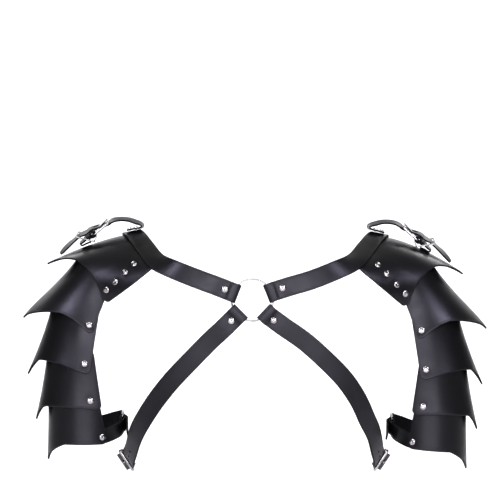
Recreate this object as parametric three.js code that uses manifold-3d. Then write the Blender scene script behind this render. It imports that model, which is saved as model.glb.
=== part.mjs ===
// A leather double pauldron with its chest harness. Millimetres, +Z up, the wearer faces -Y.
// The origin lies midway between the shoulders, where the shoulder straps sit.
// A side point is [out, y, z]: out is the distance from the middle plane towards that arm.
import * as THREE from 'three';
import { mergeVertices } from 'three/addons/utils/BufferGeometryUtils.js';
import Module from 'manifold-3d';

const wasm = await Module();
wasm.setup();

// Driving dimensions
const GAP = 0.3;
const PLATE_THICK = 2.4;
const STRAP = { width: 25, thick: 2.6 };
const NARROW = { width: 16, thick: 2.2 };
const ARM_STRAP = { width: 20, thick: 2.2 };
const RING_WIRE = 1.25;
const RING_X = -4.5;
const FRONT_RING = { y: -112, z: -89.4, face: -1, radius: 27 };
const BACK_RING = { y: 104, z: -95, face: 1, radius: 29.3 };
const DROOP_START = 135;
const DROOP_SLOPE = 0.085;
const RIVET = { cap: 4.5, dome: 2.2, shank: 1.4, hole: 1.8, foot: 3.2, footThick: 0.8 };

// angle: direction in which a strap leaves the ring; rivetAt: its rivet's distance from the wire;
// skew: its rise over its run; lean: share of LOWER_LEAN the lower straps take; swing: outward
// shift of each plate.
const SIDES = [
  {
    name: 'left',
    sign: -1,
    droop: 0,
    upper: { angle: 21.5, rivetAt: 11.3, skew: 0 },
    lower: { angle: -44.5, rivetAt: 11.2, skew: 0 },
    lean: 0,
    swing: [0, 0, 0, 0, 0],
  },
  {
    name: 'right',
    sign: 1,
    droop: DROOP_SLOPE,
    upper: { angle: 22, rivetAt: 15, skew: -0.08 },
    lower: { angle: -43.5, rivetAt: 11.2, skew: 0.17 },
    lean: 1,
    swing: [0, -1, -1, 3, 4.5],
  },
];

// Fineness of the round shapes
const RIVET_SEGMENTS = 10;
const WIRE_SIDES = 6;
const RING_SIDES = 8;
const RING_SEGMENTS = 36;
const STEPS = 2;

// Clearances: room round a bar inside a fold, length of a hole tool, seat of a rivet on its plate
const FOLD_ROOM = 2 * GAP + 0.05;
const TOOL_LENGTH = 18;
const RIVET_SEAT = 0.15;
const RIVET_LIFT = 0.8;
const TIP_BLUNT = 0.3;

// Materials
const LEATHER = { color: 0x2a2a2c, roughness: 0.45, metalness: 0 };
const STEEL = { color: 0xc9cacc, roughness: 0.15, metalness: 1 };

const group = new THREE.Group();

function add(name, geometry, look) {
  const mesh = new THREE.Mesh(geometry, new THREE.MeshStandardMaterial(look));
  mesh.name = name;
  group.add(mesh);
}

// The right arm hangs a little lower, so its side leans down from the shoulder strap outwards.
function place(side, out, y, z) {
  return new THREE.Vector3(side.sign * out, y, z - side.droop * Math.max(0, out - DROOP_START));
}

// ---- solids from rings and grids of points ----

function fromTriangles(points, triangles) {
  const geometry = new THREE.BufferGeometry();
  const flat = points.flatMap((point) => [point.x, point.y, point.z]);
  geometry.setAttribute('position', new THREE.Float32BufferAttribute(flat, 3));
  let volume = 0;
  for (let i = 0; i < triangles.length; i += 3) {
    const [a, b, c] = [0, 1, 2].map((k) => points[triangles[i + k]]);
    volume += a.dot(b.clone().cross(c));
  }
  geometry.setIndex(volume > 0 ? triangles : triangles.slice().reverse());
  return geometry;
}

// Joins rings of points one after another; a closed sweep joins the last ring to the first.
function sweep(rings, closed) {
  const sides = rings[0].length;
  const triangles = [];
  const spans = closed ? rings.length : rings.length - 1;
  for (let i = 0; i < spans; i += 1) {
    const next = (i + 1) % rings.length;
    for (let j = 0; j < sides; j += 1) {
      const k = (j + 1) % sides;
      triangles.push(i * sides + j, next * sides + j, next * sides + k);
      triangles.push(i * sides + j, next * sides + k, i * sides + k);
    }
  }
  if (!closed) {
    const last = (rings.length - 1) * sides;
    for (let j = 1; j < sides - 1; j += 1) {
      triangles.push(0, j, j + 1);
      triangles.push(last, last + j + 1, last + j);
    }
  }
  return fromTriangles(rings.flat(), triangles);
}

// A wall of even thickness on both sides of a grid of points.
function wall(grid, thick) {
  const rings = [];
  const columns = grid[0].length;
  grid.forEach((row, i) => {
    const outer = [];
    const inner = [];
    row.forEach((point, j) => {
      const along = grid[Math.min(i + 1, grid.length - 1)][j].clone().sub(grid[Math.max(i - 1, 0)][j]);
      const across = row[Math.min(j + 1, columns - 1)].clone().sub(row[Math.max(j - 1, 0)]);
      const normal = along.cross(across).normalize().multiplyScalar(thick / 2);
      outer.push(point.clone().add(normal));
      inner.unshift(point.clone().sub(normal));
    });
    rings.push([...outer, ...inner]);
  });
  return stripRings(rings, columns);
}

// Rings of two facing rows: walls join ring to ring, and each end is closed with a strip.
function stripRings(rings, columns) {
  const sides = rings[0].length;
  const triangles = [];
  for (let i = 0; i < rings.length - 1; i += 1) {
    for (let j = 0; j < sides; j += 1) {
      const k = (j + 1) % sides;
      const a = i * sides;
      const b = a + sides;
      triangles.push(a + j, b + j, b + k, a + j, b + k, a + k);
    }
  }
  const last = (rings.length - 1) * sides;
  for (let j = 0; j < columns - 1; j += 1) {
    const m = sides - 1 - j;
    triangles.push(j, j + 1, m, j + 1, m - 1, m);
    triangles.push(last + j, last + m, last + j + 1, last + j + 1, last + m, last + m - 1);
  }
  return fromTriangles(rings.flat(), triangles);
}

// ---- booleans ----

function toSolid(geometry) {
  const bare = geometry.clone();
  bare.deleteAttribute('normal');
  bare.deleteAttribute('uv');
  const merged = mergeVertices(bare);
  return new wasm.Manifold(new wasm.Mesh({
    numProp: 3,
    vertProperties: new Float32Array(merged.attributes.position.array),
    triVerts: new Uint32Array(merged.index.array),
  }));
}

function cut(geometry, tools) {
  const solid = tools.reduce((left, tool) => left.subtract(toSolid(tool)), toSolid(geometry));
  const mesh = solid.getMesh();
  const result = new THREE.BufferGeometry();
  result.setAttribute('position', new THREE.BufferAttribute(mesh.vertProperties, 3));
  result.setIndex(new THREE.BufferAttribute(mesh.triVerts, 1));
  return result;
}

// ---- straps: a flat ribbon along stations {point, normal} ----

function route(stations, stepsPerSpan) {
  const points = new THREE.CatmullRomCurve3(stations.map((s) => s.point), false, 'centripetal');
  const normals = new THREE.CatmullRomCurve3(stations.map((s) => s.normal), false, 'centripetal');
  const count = (stations.length - 1) * stepsPerSpan;
  return Array.from({ length: count + 1 }, (_, i) => {
    const t = i / count;
    const along = points.getTangent(t);
    const normal = normals.getPoint(t);
    normal.addScaledVector(along, -normal.dot(along)).normalize();
    return { point: points.getPoint(t), normal, along, across: along.clone().cross(normal) };
  });
}

function ribbon(frames, strap, tip = 0) {
  const rings = frames.map((frame, i) => {
    const fromEnd = (frames.length - 1 - i) / Math.max(tip, 1);
    const round = tip > 0 && fromEnd < 1 ? Math.sqrt(1 - (1 - fromEnd) ** 2) : 1;
    const taper = TIP_BLUNT + (1 - TIP_BLUNT) * round;
    const half = frame.across.clone().multiplyScalar(taper * strap.width / 2);
    const up = frame.normal.clone().multiplyScalar(strap.thick / 2);
    const corner = (a, b) => frame.point.clone().addScaledVector(half, a).addScaledVector(up, b);
    return [corner(-1, 1), corner(1, 1), corner(1, -1), corner(-1, -1)];
  });
  return sweep(rings, false);
}

function station(side, [out, y, z, nOut, nY, nZ]) {
  return {
    point: place(side, out, y, z),
    normal: new THREE.Vector3(side.sign * nOut, nY, nZ).normalize(),
  };
}

// A frame for a fold or a buckle: along leads away from the bar, normal away from the body.
function barFrame(origin, along, normal) {
  const a = along.clone().normalize();
  const n = normal.clone().addScaledVector(a, -normal.dot(a)).normalize();
  return { origin, a, n, w: a.clone().cross(n) };
}

function inFrame(frame, a, h, w = 0) {
  return frame.origin.clone()
    .addScaledVector(frame.a, a)
    .addScaledVector(frame.n, h)
    .addScaledVector(frame.w, w);
}

// Stations of a strap end that goes round a bar and lies under itself, from its hidden end out.
function fold(frame, thick, bar, reach, slack, skew = 0) {
  const layer = thick / 2 + GAP / 2;
  const clear = bar + FOLD_ROOM + thick / 2;
  const turn = -slack - clear;
  const closed = Math.min(reach * 0.55, clear + 2 * thick);
  const at = (a, h, na, nh) => ({
    point: inFrame(frame, a, h, skew * Math.max(0, a - clear)),
    normal: frame.a.clone().multiplyScalar(na).addScaledVector(frame.n, nh).normalize(),
  });
  return [
    at(reach, -layer, 0, -1),
    at(closed, -layer - GAP, 0, -1),
    at(clear, -clear, -0.2, -1),
    at(-slack, -clear, 0, -1),
    at(-slack + 0.7 * (turn + slack), -0.7 * clear, -1, -1),
    at(turn, 0, -1, 0),
    at(-slack + 0.7 * (turn + slack), 0.7 * clear, -1, 1),
    at(-slack, clear, 0, 1),
    at(clear, clear, 0.2, 1),
    at(closed, layer + GAP, 0, 1),
    at(reach, layer, 0, 1),
  ];
}

// ---- rivets ----

function rivetGeometry(frame, length) {
  const { cap, dome, shank, foot, footThick } = RIVET;
  const profile = [
    [0, -length - footThick], [foot, -length - footThick], [foot, -length], [shank, -length],
    [shank, GAP], [cap, GAP], [cap * 0.7, GAP + dome * 0.8], [0, GAP + dome],
  ].map(([r, h]) => new THREE.Vector2(r, h));
  const geometry = new THREE.LatheGeometry(profile, RIVET_SEGMENTS);
  return standOn(geometry, frame);
}

// Turns a shape built along +Y so that its axis follows the frame's normal.
function standOn(geometry, frame) {
  const turn = new THREE.Quaternion().setFromUnitVectors(new THREE.Vector3(0, 1, 0), frame.normal);
  geometry.applyQuaternion(turn);
  return geometry.translate(frame.point.x, frame.point.y, frame.point.z);
}

function holeTool(frame) {
  const tool = new THREE.CylinderGeometry(RIVET.hole, RIVET.hole, TOOL_LENGTH, RIVET_SEGMENTS);
  return standOn(tool, frame);
}

// ---- wire frames and prongs ----

function wireRing(frame, radius) {
  return Array.from({ length: WIRE_SIDES }, (_, j) => {
    const angle = (2 * Math.PI * j) / WIRE_SIDES;
    return frame.point.clone()
      .addScaledVector(frame.normal, radius * Math.cos(angle))
      .addScaledVector(frame.across, radius * Math.sin(angle));
  });
}

// A rounded rectangle of wire in the frame's plane: bars at 0 and length, width between the sides.
function wireLoop(frame, { length, width, wire }) {
  const corner = wire * 1.4;
  const centres = [
    [length - corner, width / 2 - corner, 0],
    [corner, width / 2 - corner, Math.PI / 2],
    [corner, corner - width / 2, Math.PI],
    [length - corner, corner - width / 2, 1.5 * Math.PI],
  ];
  const stations = centres.flatMap(([a, w, start]) => [0, 1, 2].map((step) => {
    const angle = start + (step * Math.PI) / 4;
    const out = frame.a.clone().multiplyScalar(Math.cos(angle)).addScaledVector(frame.w, Math.sin(angle));
    const point = inFrame(frame, a, 0, w).addScaledVector(out, corner);
    return { point, normal: frame.n, across: out };
  }));
  return sweep(stations.map((entry) => wireRing(entry, wire)), true);
}

// The prong starts beside the heel bar and rests on the outer bar.
function prongGeometry(frame, buckle) {
  const stations = [
    [buckle.start, 0.5, 1], [buckle.length * 0.5, 2, 1], [buckle.length * 0.85, buckle.rest, 1],
    [buckle.length, buckle.rest + 0.3, 0.9], [buckle.length + 2.5, buckle.rest - 0.6, 0.6],
  ];
  return sweep(stations.map(([a, h, scale]) => wireRing(
    { point: inFrame(frame, a, h), normal: frame.n, across: frame.w },
    buckle.prong * scale,
  )), false);
}

const SLOT_ROOM = 1.6;

// A slot through the strap where the prong passes.
function slotTool(frame, buckle) {
  const tool = new THREE.BoxGeometry(buckle.slot, buckle.prong * 2 + SLOT_ROOM, TOOL_LENGTH / 2);
  const basis = new THREE.Matrix4().makeBasis(frame.a, frame.w.clone().negate(), frame.n);
  tool.applyMatrix4(basis);
  const centre = inFrame(frame, buckle.slotAt, buckle.slotHeight);
  return tool.translate(centre.x, centre.y, centre.z);
}

// Stations of the strap that comes under the outer bar and leaves over the heel bar.
function throughBuckle(frame, buckle, strap, chapeThick) {
  const low = -(buckle.wire + 2 * GAP + strap.thick / 2);
  const high = buckle.wire + 6 * GAP + chapeThick + strap.thick / 2;
  const at = (a, h, tilt) => ({
    point: inFrame(frame, a, h),
    normal: frame.n.clone().addScaledVector(frame.a, tilt).normalize(),
  });
  return [
    at(buckle.length + 4, low, 0),
    at(buckle.length - 1, low, 0),
    at(buckle.length * 0.5, (low + high) / 2, 0.45),
    at(1, high, 0.1),
    at(-6, high, 0),
  ];
}

// ---- shoulder strap and lower straps ----

const UPPER_BODY = [
  [72, -112, -63.4, 0.02, -1, 0.1],
  [105, -106, -50.5, 0.1, -1, 0.25],
  [129, -88, -39.5, 0.15, -0.85, 0.5],
  [146.6, -58, -20.4, 0.2, -0.55, 0.8],
  [159, -30, -6, 0.2, -0.25, 0.95],
  [168, 0, 0.5, 0.2, 0.02, 0.98],
  [168.5, 30, -5, 0.2, 0.3, 0.93],
  [157, 60, -20.5, 0.2, 0.6, 0.78],
  [139, 83, -41, 0.15, 0.9, 0.4],
  [113, 98, -53, 0.08, 1, 0.2],
  [80, 104, -66.5, 0.02, 1, 0.1],
];
const CAP_FROM = 2;
const CAP_TO = 8;

const LOWER_FRONT = [
  [60, -111, -143, 0.05, -1, -0.03],
  [83.9, -108, -167.5, 0.12, -1, -0.06],
  [109, -102, -194, 0.28, -0.93, -0.12],
  [130.2, -93, -220.7, 0.45, -0.85, -0.2],
  [148, -79, -248, 0.62, -0.7, -0.35],
  [158.5, -63, -268, 0.74, -0.52, -0.43],
  [166, -42, -291, 0.82, -0.25, -0.52],
];

const LOWER_BACK = [
  [171, 41, -299, 0.82, 0.25, -0.5],
  [165.5, 58, -278.5, 0.74, 0.52, -0.4],
  [156, 74, -261, 0.6, 0.7, -0.35],
  [139, 88, -234.5, 0.45, 0.85, -0.2],
  [117.5, 96, -207, 0.28, 0.93, -0.12],
  [91, 101, -179.5, 0.12, 1, -0.06],
  [65, 103, -153, 0.05, 1, -0.03],
];

// The right-hand lower straps run this much further out at each station, and the buckle this much in.
const LOWER_LEAN = [7, 7, 7.3, 4, -0.7, -2, -3.3];
const BACK_LEAN = LOWER_LEAN.map((shift) => shift * 1.08).reverse();
const BUCKLE_LEAN = -5;
const SIDE_BUCKLE_AT = [174, 4, -308];
const SIDE_TAIL = [-22, 5.2];
const SIDE_TIP = 4;

// Buckles: length is between the middles of the two bars, chape how far the leather on the heel
// bar reaches back under itself, and start and rest place the prong.
const SIDE_BUCKLE = {
  wire: 2, length: 22, width: 30.4, prong: 1.5, start: 6.2, rest: 3.9,
  slot: 17, slotAt: 11, slotHeight: 1.5,
  chape: 24,
};
const SHOULDER_BUCKLE = {
  wire: 1.5, length: 25.7, width: 20, prong: 1.1, start: 5, rest: 2.95,
  slot: 15, slotAt: 12, slotHeight: 1.5,
  chape: 10,
};
const ARM_BUCKLE = {
  wire: 1.3, length: 17, width: 23.6, prong: 1, start: 4.6, rest: 2.65,
  slot: 10.5, slotAt: 8.5, slotHeight: 1.2,
  chape: 9,
};

function ringFrame(side, ring, end) {
  const angle = THREE.MathUtils.degToRad(end.angle);
  const lateral = new THREE.Vector3(side.sign, 0, 0);
  const leading = lateral.multiplyScalar(Math.cos(angle)).add(new THREE.Vector3(0, 0, Math.sin(angle)));
  const centre = new THREE.Vector3(RING_X, ring.y, ring.z);
  const rim = centre.addScaledVector(leading, ring.radius);
  return barFrame(rim, leading, new THREE.Vector3(0, ring.face, 0));
}

const RING_REACH = 26;
const RING_SLACK = 2.8;

// A strap leaves its fold a little upwards or downwards; skew is the rise over the run.
function ringFold(side, ring, end) {
  const frame = ringFrame(side, ring, end);
  const skew = end.skew * Math.sign(frame.w.z);
  return fold(frame, STRAP.thick, RING_WIRE, RING_REACH, RING_SLACK, skew);
}

function ringRivet(side, ring, end) {
  const frame = ringFrame(side, ring, end);
  return { point: inFrame(frame, end.rivetAt, STRAP.thick + GAP / 2 + RIVET_LIFT), normal: frame.n };
}

const RING_RIVET_LENGTH = 2 * STRAP.thick + GAP + 1.8;
function upperStations(side) {
  return [
    ...ringFold(side, FRONT_RING, side.upper),
    ...UPPER_BODY.map((entry) => station(side, entry)),
    ...ringFold(side, BACK_RING, side.upper).reverse(),
  ];
}

const FOLD_COUNT = 11;

function sideBuckleFrame(side) {
  const normal = new THREE.Vector3(side.sign * 0.83, 0, -0.56);
  const [out, y, z] = SIDE_BUCKLE_AT;
  const origin = place({ ...side, droop: 0 }, out + side.lean * BUCKLE_LEAN, y, z);
  return barFrame(origin, new THREE.Vector3(0, -1, 0), normal);
}

// The lower straps keep their heights on both sides.
function lowerStations(side, table, leans) {
  const flat = { ...side, droop: 0 };
  return table.map(([out, ...rest], i) => station(flat, [out + side.lean * leans[i], ...rest]));
}

function addChestHarness(side) {
  const upperRivet = ringRivet(side, FRONT_RING, side.upper);
  const lowerRivet = ringRivet(side, FRONT_RING, side.lower);
  const upper = ribbon(route(upperStations(side), STEPS), STRAP);
  add(`shoulder_strap_${side.name}`, cut(upper, [holeTool(upperRivet)]), LEATHER);
  add(`ring_rivet_upper_${side.name}`, rivetGeometry(upperRivet, RING_RIVET_LENGTH), STEEL);

  const buckle = sideBuckleFrame(side);
  const front = route([
    ...ringFold(side, FRONT_RING, side.lower),
    ...lowerStations(side, LOWER_FRONT, LOWER_LEAN),
    ...throughBuckle(buckle, SIDE_BUCKLE, STRAP, STRAP.thick),
    { point: inFrame(buckle, ...SIDE_TAIL), normal: buckle.n },
  ], STEPS);
  const frontTools = [holeTool(lowerRivet), slotTool(buckle, SIDE_BUCKLE)];
  add(`lower_front_strap_${side.name}`, cut(ribbon(front, STRAP, SIDE_TIP), frontTools), LEATHER);
  add(`ring_rivet_lower_${side.name}`, rivetGeometry(lowerRivet, RING_RIVET_LENGTH), STEEL);
  add(`side_buckle_frame_${side.name}`, wireLoop(buckle, SIDE_BUCKLE), STEEL);
  add(`side_buckle_prong_${side.name}`, prongGeometry(buckle, SIDE_BUCKLE), STEEL);

  const back = route([
    ...fold(reversed(buckle), STRAP.thick, SIDE_BUCKLE.wire, SIDE_BUCKLE.chape, 0),
    ...lowerStations(side, LOWER_BACK, BACK_LEAN),
    ...ringFold(side, BACK_RING, side.lower).reverse(),
  ], STEPS);
  add(`lower_back_strap_${side.name}`, ribbon(back, STRAP), LEATHER);
}

function addRing(name, ring) {
  const torus = new THREE.TorusGeometry(ring.radius, RING_WIRE, RING_SIDES, RING_SEGMENTS);
  torus.rotateX(Math.PI / 2);
  add(name, torus.translate(RING_X, ring.y, ring.z), STEEL);
}

// ---- plates: each is drawn from an upper hoop to a lower hoop, both flat tilted ellipses ----

// out: furthest point to the side; centre: ellipse middle; depth: half size front to back;
// reach: angle of the front end in degrees; side and front: heights at the side and at the front end.
const PLATES = [
  {
    lower: { out: 264, centre: 205, depth: 61.5, reach: 96, side: -34.5, front: -96.5 },
    spike: 18, spikeReach: 34, spikePower: 1.5, scallop: 16, scallopSkew: 1.1, curl: 0,
    rivets: [[0.831, 0.271], [0.86, 0.478], [0.885, 0.696], [0.895, 0.883]],
  },
  {
    upper: { out: 239, centre: 200, depth: 55.6, reach: 104, side: -34, front: -67.5 },
    lower: { out: 303, centre: 228, depth: 62.5, reach: 98, side: -98, front: -139 },
    spike: 21, spikeReach: 60, spikePower: 1.3, scallop: 10, scallopSkew: 1.75, crown: 7, curl: 6,
    rivets: [[0.94, 0.877]],
  },
  {
    upper: { out: 271, centre: 216, depth: 53.2, reach: 98, side: -86, front: -111 },
    lower: { out: 301, centre: 231, depth: 61.5, reach: 99, side: -176, front: -191 },
    spike: 18, spikeReach: 30, spikePower: 1.5, scallop: 8, scallopSkew: 1, crown: 4, curl: 0,
    rivets: [[0.925, 0.845]],
  },
  {
    upper: { out: 280, centre: 226, depth: 54.3, reach: 102, side: -156, front: -163 },
    lower: { out: 293, centre: 232, depth: 54.5, reach: 117, side: -236, front: -238 },
    spike: 18, spikeReach: 36, spikePower: 1.5, scallop: 3, scallopSkew: 1, crown: 2, curl: 0,
    rivets: [[0.88, 0.843]],
  },
  {
    upper: { out: 279.5, centre: 231, depth: 50, reach: 114, side: -215, front: -212.6 },
    lower: { out: 280, centre: 231, depth: 50, reach: 132, side: -284, front: -284 },
    spike: 24, spikeReach: 62, spikePower: 1.2, scallop: 0, scallopSkew: 1, crown: 0.5, curl: 0,
    rivets: [[0.94, 0.862]],
  },
];
// The plates sit turned a little forwards, so their back ends reach less far round.
const BACK_SHORT = THREE.MathUtils.degToRad(11);
const CORNER_FROM = 0.92;
const CORNER_LIFT = 8;
const COLUMN_STOPS = [0, 1, 2, 3, 4, 5, 6, 7, 8, 9, 10, 11].map((i) => i / 12).concat([0.955, 0.985, 1]);
const COLUMNS = [...COLUMN_STOPS.slice(1).reverse().map((t) => -t), ...COLUMN_STOPS];
const ROWS = [0, 0.36, 0.7, 1];
const CAP_ROWS = [0, 0.2, 0.42, 0.7, 1];

function onHoop(side, hoop, t, swing) {
  const reach = THREE.MathUtils.degToRad(hoop.reach);
  const angle = t < 0 ? t * (reach - BACK_SHORT) : t * reach;
  const drop = (1 - Math.cos(angle)) / (1 - Math.cos(reach));
  return place(
    side,
    hoop.centre + swing + (hoop.out - hoop.centre) * Math.cos(angle),
    -hoop.depth * Math.sin(angle),
    hoop.side + (hoop.front - hoop.side) * drop,
  );
}

// Share of the spike's length at t, 1 at its tip.
function spikeShare(plate, t) {
  const spikeAt = (Math.abs(t) * plate.lower.reach) / plate.spikeReach;
  return spikeAt < 1 ? (1 - spikeAt) ** plate.spikePower : 0;
}

// Extra length of the plate at t: the spike at the side, the scallop between, the round corner.
function edgeLength(plate, t) {
  const u = Math.abs(t);
  const spike = plate.spike * spikeShare(plate, t);
  const scallop = plate.scallop * Math.sin(Math.PI * u ** plate.scallopSkew);
  const round = Math.max(0, (u - CORNER_FROM) / (1 - CORNER_FROM));
  return spike - scallop - CORNER_LIFT * (1 - Math.sqrt(1 - round * round));
}

// The curl of a tip, inwards and down, grows with this power of the distance from the upper edge.
const CURL_POWER = 5;
const CAP_LEAD = 0.45;
const CAP_INSET = 5;
const CAP_UNDER = STRAP.thick / 2 + PLATE_THICK / 2 + 1;

// The cap's inner edge follows the underside of the shoulder strap.
function capRail(side) {
  const frames = route(upperStations(side), STEPS);
  const from = (FOLD_COUNT + CAP_FROM) * STEPS;
  const to = (FOLD_COUNT + CAP_TO) * STEPS;
  return (t) => {
    const at = from + ((1 - t) / 2) * (to - from);
    const i = Math.min(Math.floor(at), to - 1);
    const blend = at - i;
    const outwards = Math.sign(frames[i].across.x * side.sign);
    const [a, b] = [frames[i], frames[i + 1]].map((frame) => ({
      point: frame.point.clone()
        .addScaledVector(frame.across, outwards * CAP_INSET)
        .addScaledVector(frame.normal, -CAP_UNDER),
      lead: frame.across.clone().multiplyScalar(outwards),
    }));
    return { point: a.point.lerp(b.point, blend), lead: a.lead.lerp(b.lead, blend).normalize() };
  };
}

// A plate's surface as a function of t, -1 at the back end to 1 at the front end, and s, 0 to 1.
function plateSurface(side, index) {
  const plate = PLATES[index];
  const swing = side.swing[index];
  const rail = index === 0 ? capRail(side) : null;
  return (t, s) => {
    const bottom = onHoop(side, plate.lower, t, swing);
    const start = rail ? rail(t) : { point: onHoop(side, plate.upper, t, swing) };
    const length = start.point.distanceTo(bottom);
    const middle = start.point.clone().lerp(bottom, 0.5);
    if (rail) {
      middle.copy(start.point).addScaledVector(start.lead, length * CAP_LEAD);
    } else {
      const ahead = onHoop(side, plate.upper, t + 0.01, swing).sub(start.point);
      const out = ahead.cross(bottom.clone().sub(start.point)).normalize().multiplyScalar(-side.sign);
      middle.addScaledVector(out, plate.crown);
    }
    const reach = s * (1 + edgeLength(plate, t) / length);
    const curl = plate.curl * spikeShare(plate, t) * s ** CURL_POWER;
    return start.point.clone().multiplyScalar((1 - reach) ** 2)
      .addScaledVector(middle, 2 * reach * (1 - reach))
      .addScaledVector(bottom, reach * reach)
      .add(new THREE.Vector3(-side.sign * curl, 0, -curl));
  };
}

function frameOn(side, surface, t, s) {
  const step = 0.01;
  const point = surface(t, s);
  const down = surface(t, s + step).sub(point);
  const normal = surface(t - step, s).sub(point).cross(down).normalize().multiplyScalar(side.sign);
  const towardsFront = normal.y < 0 || Math.abs(t) < 0.5 ? 1 : -1;
  normal.multiplyScalar(t > 0 ? towardsFront : -towardsFront);
  return { point: point.addScaledVector(normal, PLATE_THICK / 2 + RIVET_SEAT), normal };
}

const PLATE_RIVET_LENGTH = 11;
const LAST_RIVET_LENGTH = 8;

function plateRivets(side, index) {
  const surface = plateSurface(side, index);
  return PLATES[index].rivets.map(([t, s]) => frameOn(side, surface, t, s));
}

function addPlates(side) {
  const rivets = PLATES.map((plate, index) => plateRivets(side, index));
  PLATES.forEach((plate, index) => {
    const surface = plateSurface(side, index);
    const rows = index === 0 ? CAP_ROWS : ROWS;
    const body = wall(COLUMNS.map((t) => rows.map((s) => surface(t, s))), PLATE_THICK);
    const through = [...rivets[index], ...(index > 0 ? rivets[index - 1].slice(-1) : [])];
    add(`plate_${index + 1}_${side.name}`, cut(body, through.map(holeTool)), LEATHER);
    rivets[index].forEach((frame, i) => {
      const number = rivets[index].length > 1 ? `_${i + 1}` : '';
      const length = index === PLATES.length - 1 ? LAST_RIVET_LENGTH : PLATE_RIVET_LENGTH;
      add(`plate_${index + 1}_rivet${number}_${side.name}`, rivetGeometry(frame, length), STEEL);
    });
  });
}

// ---- narrow strap that arches over the cap, with its buckle, keeper and chape ----

const FORWARD_TILT = -0.34;
const HEEL_BAR = [220, -6, -1.6];
const OUTER_BAR = [199.8, -6, 14.9];
const KEEPER = { wire: 1.1, length: 26, width: 22.4 };
const KEEPER_FROM = [216.4, -6, -9.4];
const KEEPER_TO = [245, -6, -2.5];
const NARROW_TIP = 4;
const NARROW_FIXED_END = [
  [174, -6, 2.5, -0.2, 0, -1],
  [165, -6, 4.2, -0.2, 0, -1],
  [158, -6, 5.3, -0.2, 0, -1],
  [153.6, -6, 6.8, -0.8, -0.1, -0.6],
  [153.2, -6, 9.3, -1, -0.2, 0.2],
  [156, -6, 11.5, -0.5, -0.3, 0.86],
  [162, -6, 13.6, -0.35, -0.34, 0.9],
  [171, -6, 16.6, -0.15, -0.34, 1],
  [181, -6, 17.6, 0.05, -0.34, 1],
  [189, -6, 16.8, 0.3, -0.34, 0.9],
];
const NARROW_TAIL = [
  [236, -6, -3.6, 0.55, -0.3, 0.8],
  [244, -6, -10, 0.65, -0.3, 0.7],
  [254, -6, -18.8, 0.7, -0.45, 0.7],
  [264, -6, -29.6, 0.7, -0.5, 0.65],
];
const CHAPE_FOOT = [
  [232.6, -6, -11.8, 0.7, -0.28, 0.65],
  [236.8, -6, -15.6, 1, -0.15, 0],
  [234.8, -6, -18.2, 0.1, 0, -1],
  [229, -6, -15.8, -0.38, 0.05, -0.92],
  [223, -6, -13.6, -0.38, 0.05, -0.92],
];

function tiltedFrame(side, from, to) {
  const start = place(side, ...from);
  const along = place(side, ...to).sub(start).normalize();
  const up = new THREE.Vector3(0, 0, 1).addScaledVector(along, -along.z).normalize();
  return barFrame(start, along, up.add(new THREE.Vector3(0, FORWARD_TILT, 0)));
}

function reversed(frame) {
  return barFrame(frame.origin, frame.a.clone().negate(), frame.n);
}

function addShoulderBuckle(side) {
  const at = (entry) => station(side, entry);
  const buckle = tiltedFrame(side, HEEL_BAR, OUTER_BAR);
  const strap = route([
    ...NARROW_FIXED_END.map(at),
    ...throughBuckle(buckle, SHOULDER_BUCKLE, NARROW, NARROW.thick),
    ...NARROW_TAIL.map(at),
  ], STEPS);
  const body = cut(ribbon(strap, NARROW, NARROW_TIP), [slotTool(buckle, SHOULDER_BUCKLE)]);
  add(`narrow_strap_${side.name}`, body, LEATHER);
  add(`shoulder_buckle_frame_${side.name}`, wireLoop(buckle, SHOULDER_BUCKLE), STEEL);
  add(`shoulder_buckle_prong_${side.name}`, prongGeometry(buckle, SHOULDER_BUCKLE), STEEL);
  const chape = route([
    ...fold(reversed(buckle), NARROW.thick, SHOULDER_BUCKLE.wire, SHOULDER_BUCKLE.chape, 0),
    ...CHAPE_FOOT.map(at),
  ], STEPS);
  add(`buckle_chape_${side.name}`, ribbon(chape, NARROW), LEATHER);
  add(`strap_keeper_${side.name}`, wireLoop(tiltedFrame(side, KEEPER_FROM, KEEPER_TO), KEEPER), STEEL);
}

// ---- arm strap: a front part that holds the buckle and a back part that runs through it ----

const ARM_HEEL = [180, -3, -259];
const ARM_LEAD = new THREE.Vector3(0, 0.95, 0.31);
const ARM_TIP = 3;
const ARM_FRONT = [
  [183.5, -19, -266, -0.9, -0.45, 0],
  [195, -30, -271, -0.75, -0.65, 0],
  [207.5, -38.7, -274, -0.5, -0.86, 0],
  [219, -43.2, -274, -0.25, -0.97, 0],
];
const ARM_BACK = [
  [219, 43.6, -263, -0.25, 0.97, 0],
  [207.5, 39, -261, -0.5, 0.86, 0],
  [196, 30.5, -257, -0.75, 0.65, 0],
  [187, 21.5, -254, -0.9, 0.4, 0],
];
const ARM_TAIL = [
  [172.5, -17, -267, -1, -0.05, 0.05],
  [172, -25, -271, -1, -0.15, 0.1],
];

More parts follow.
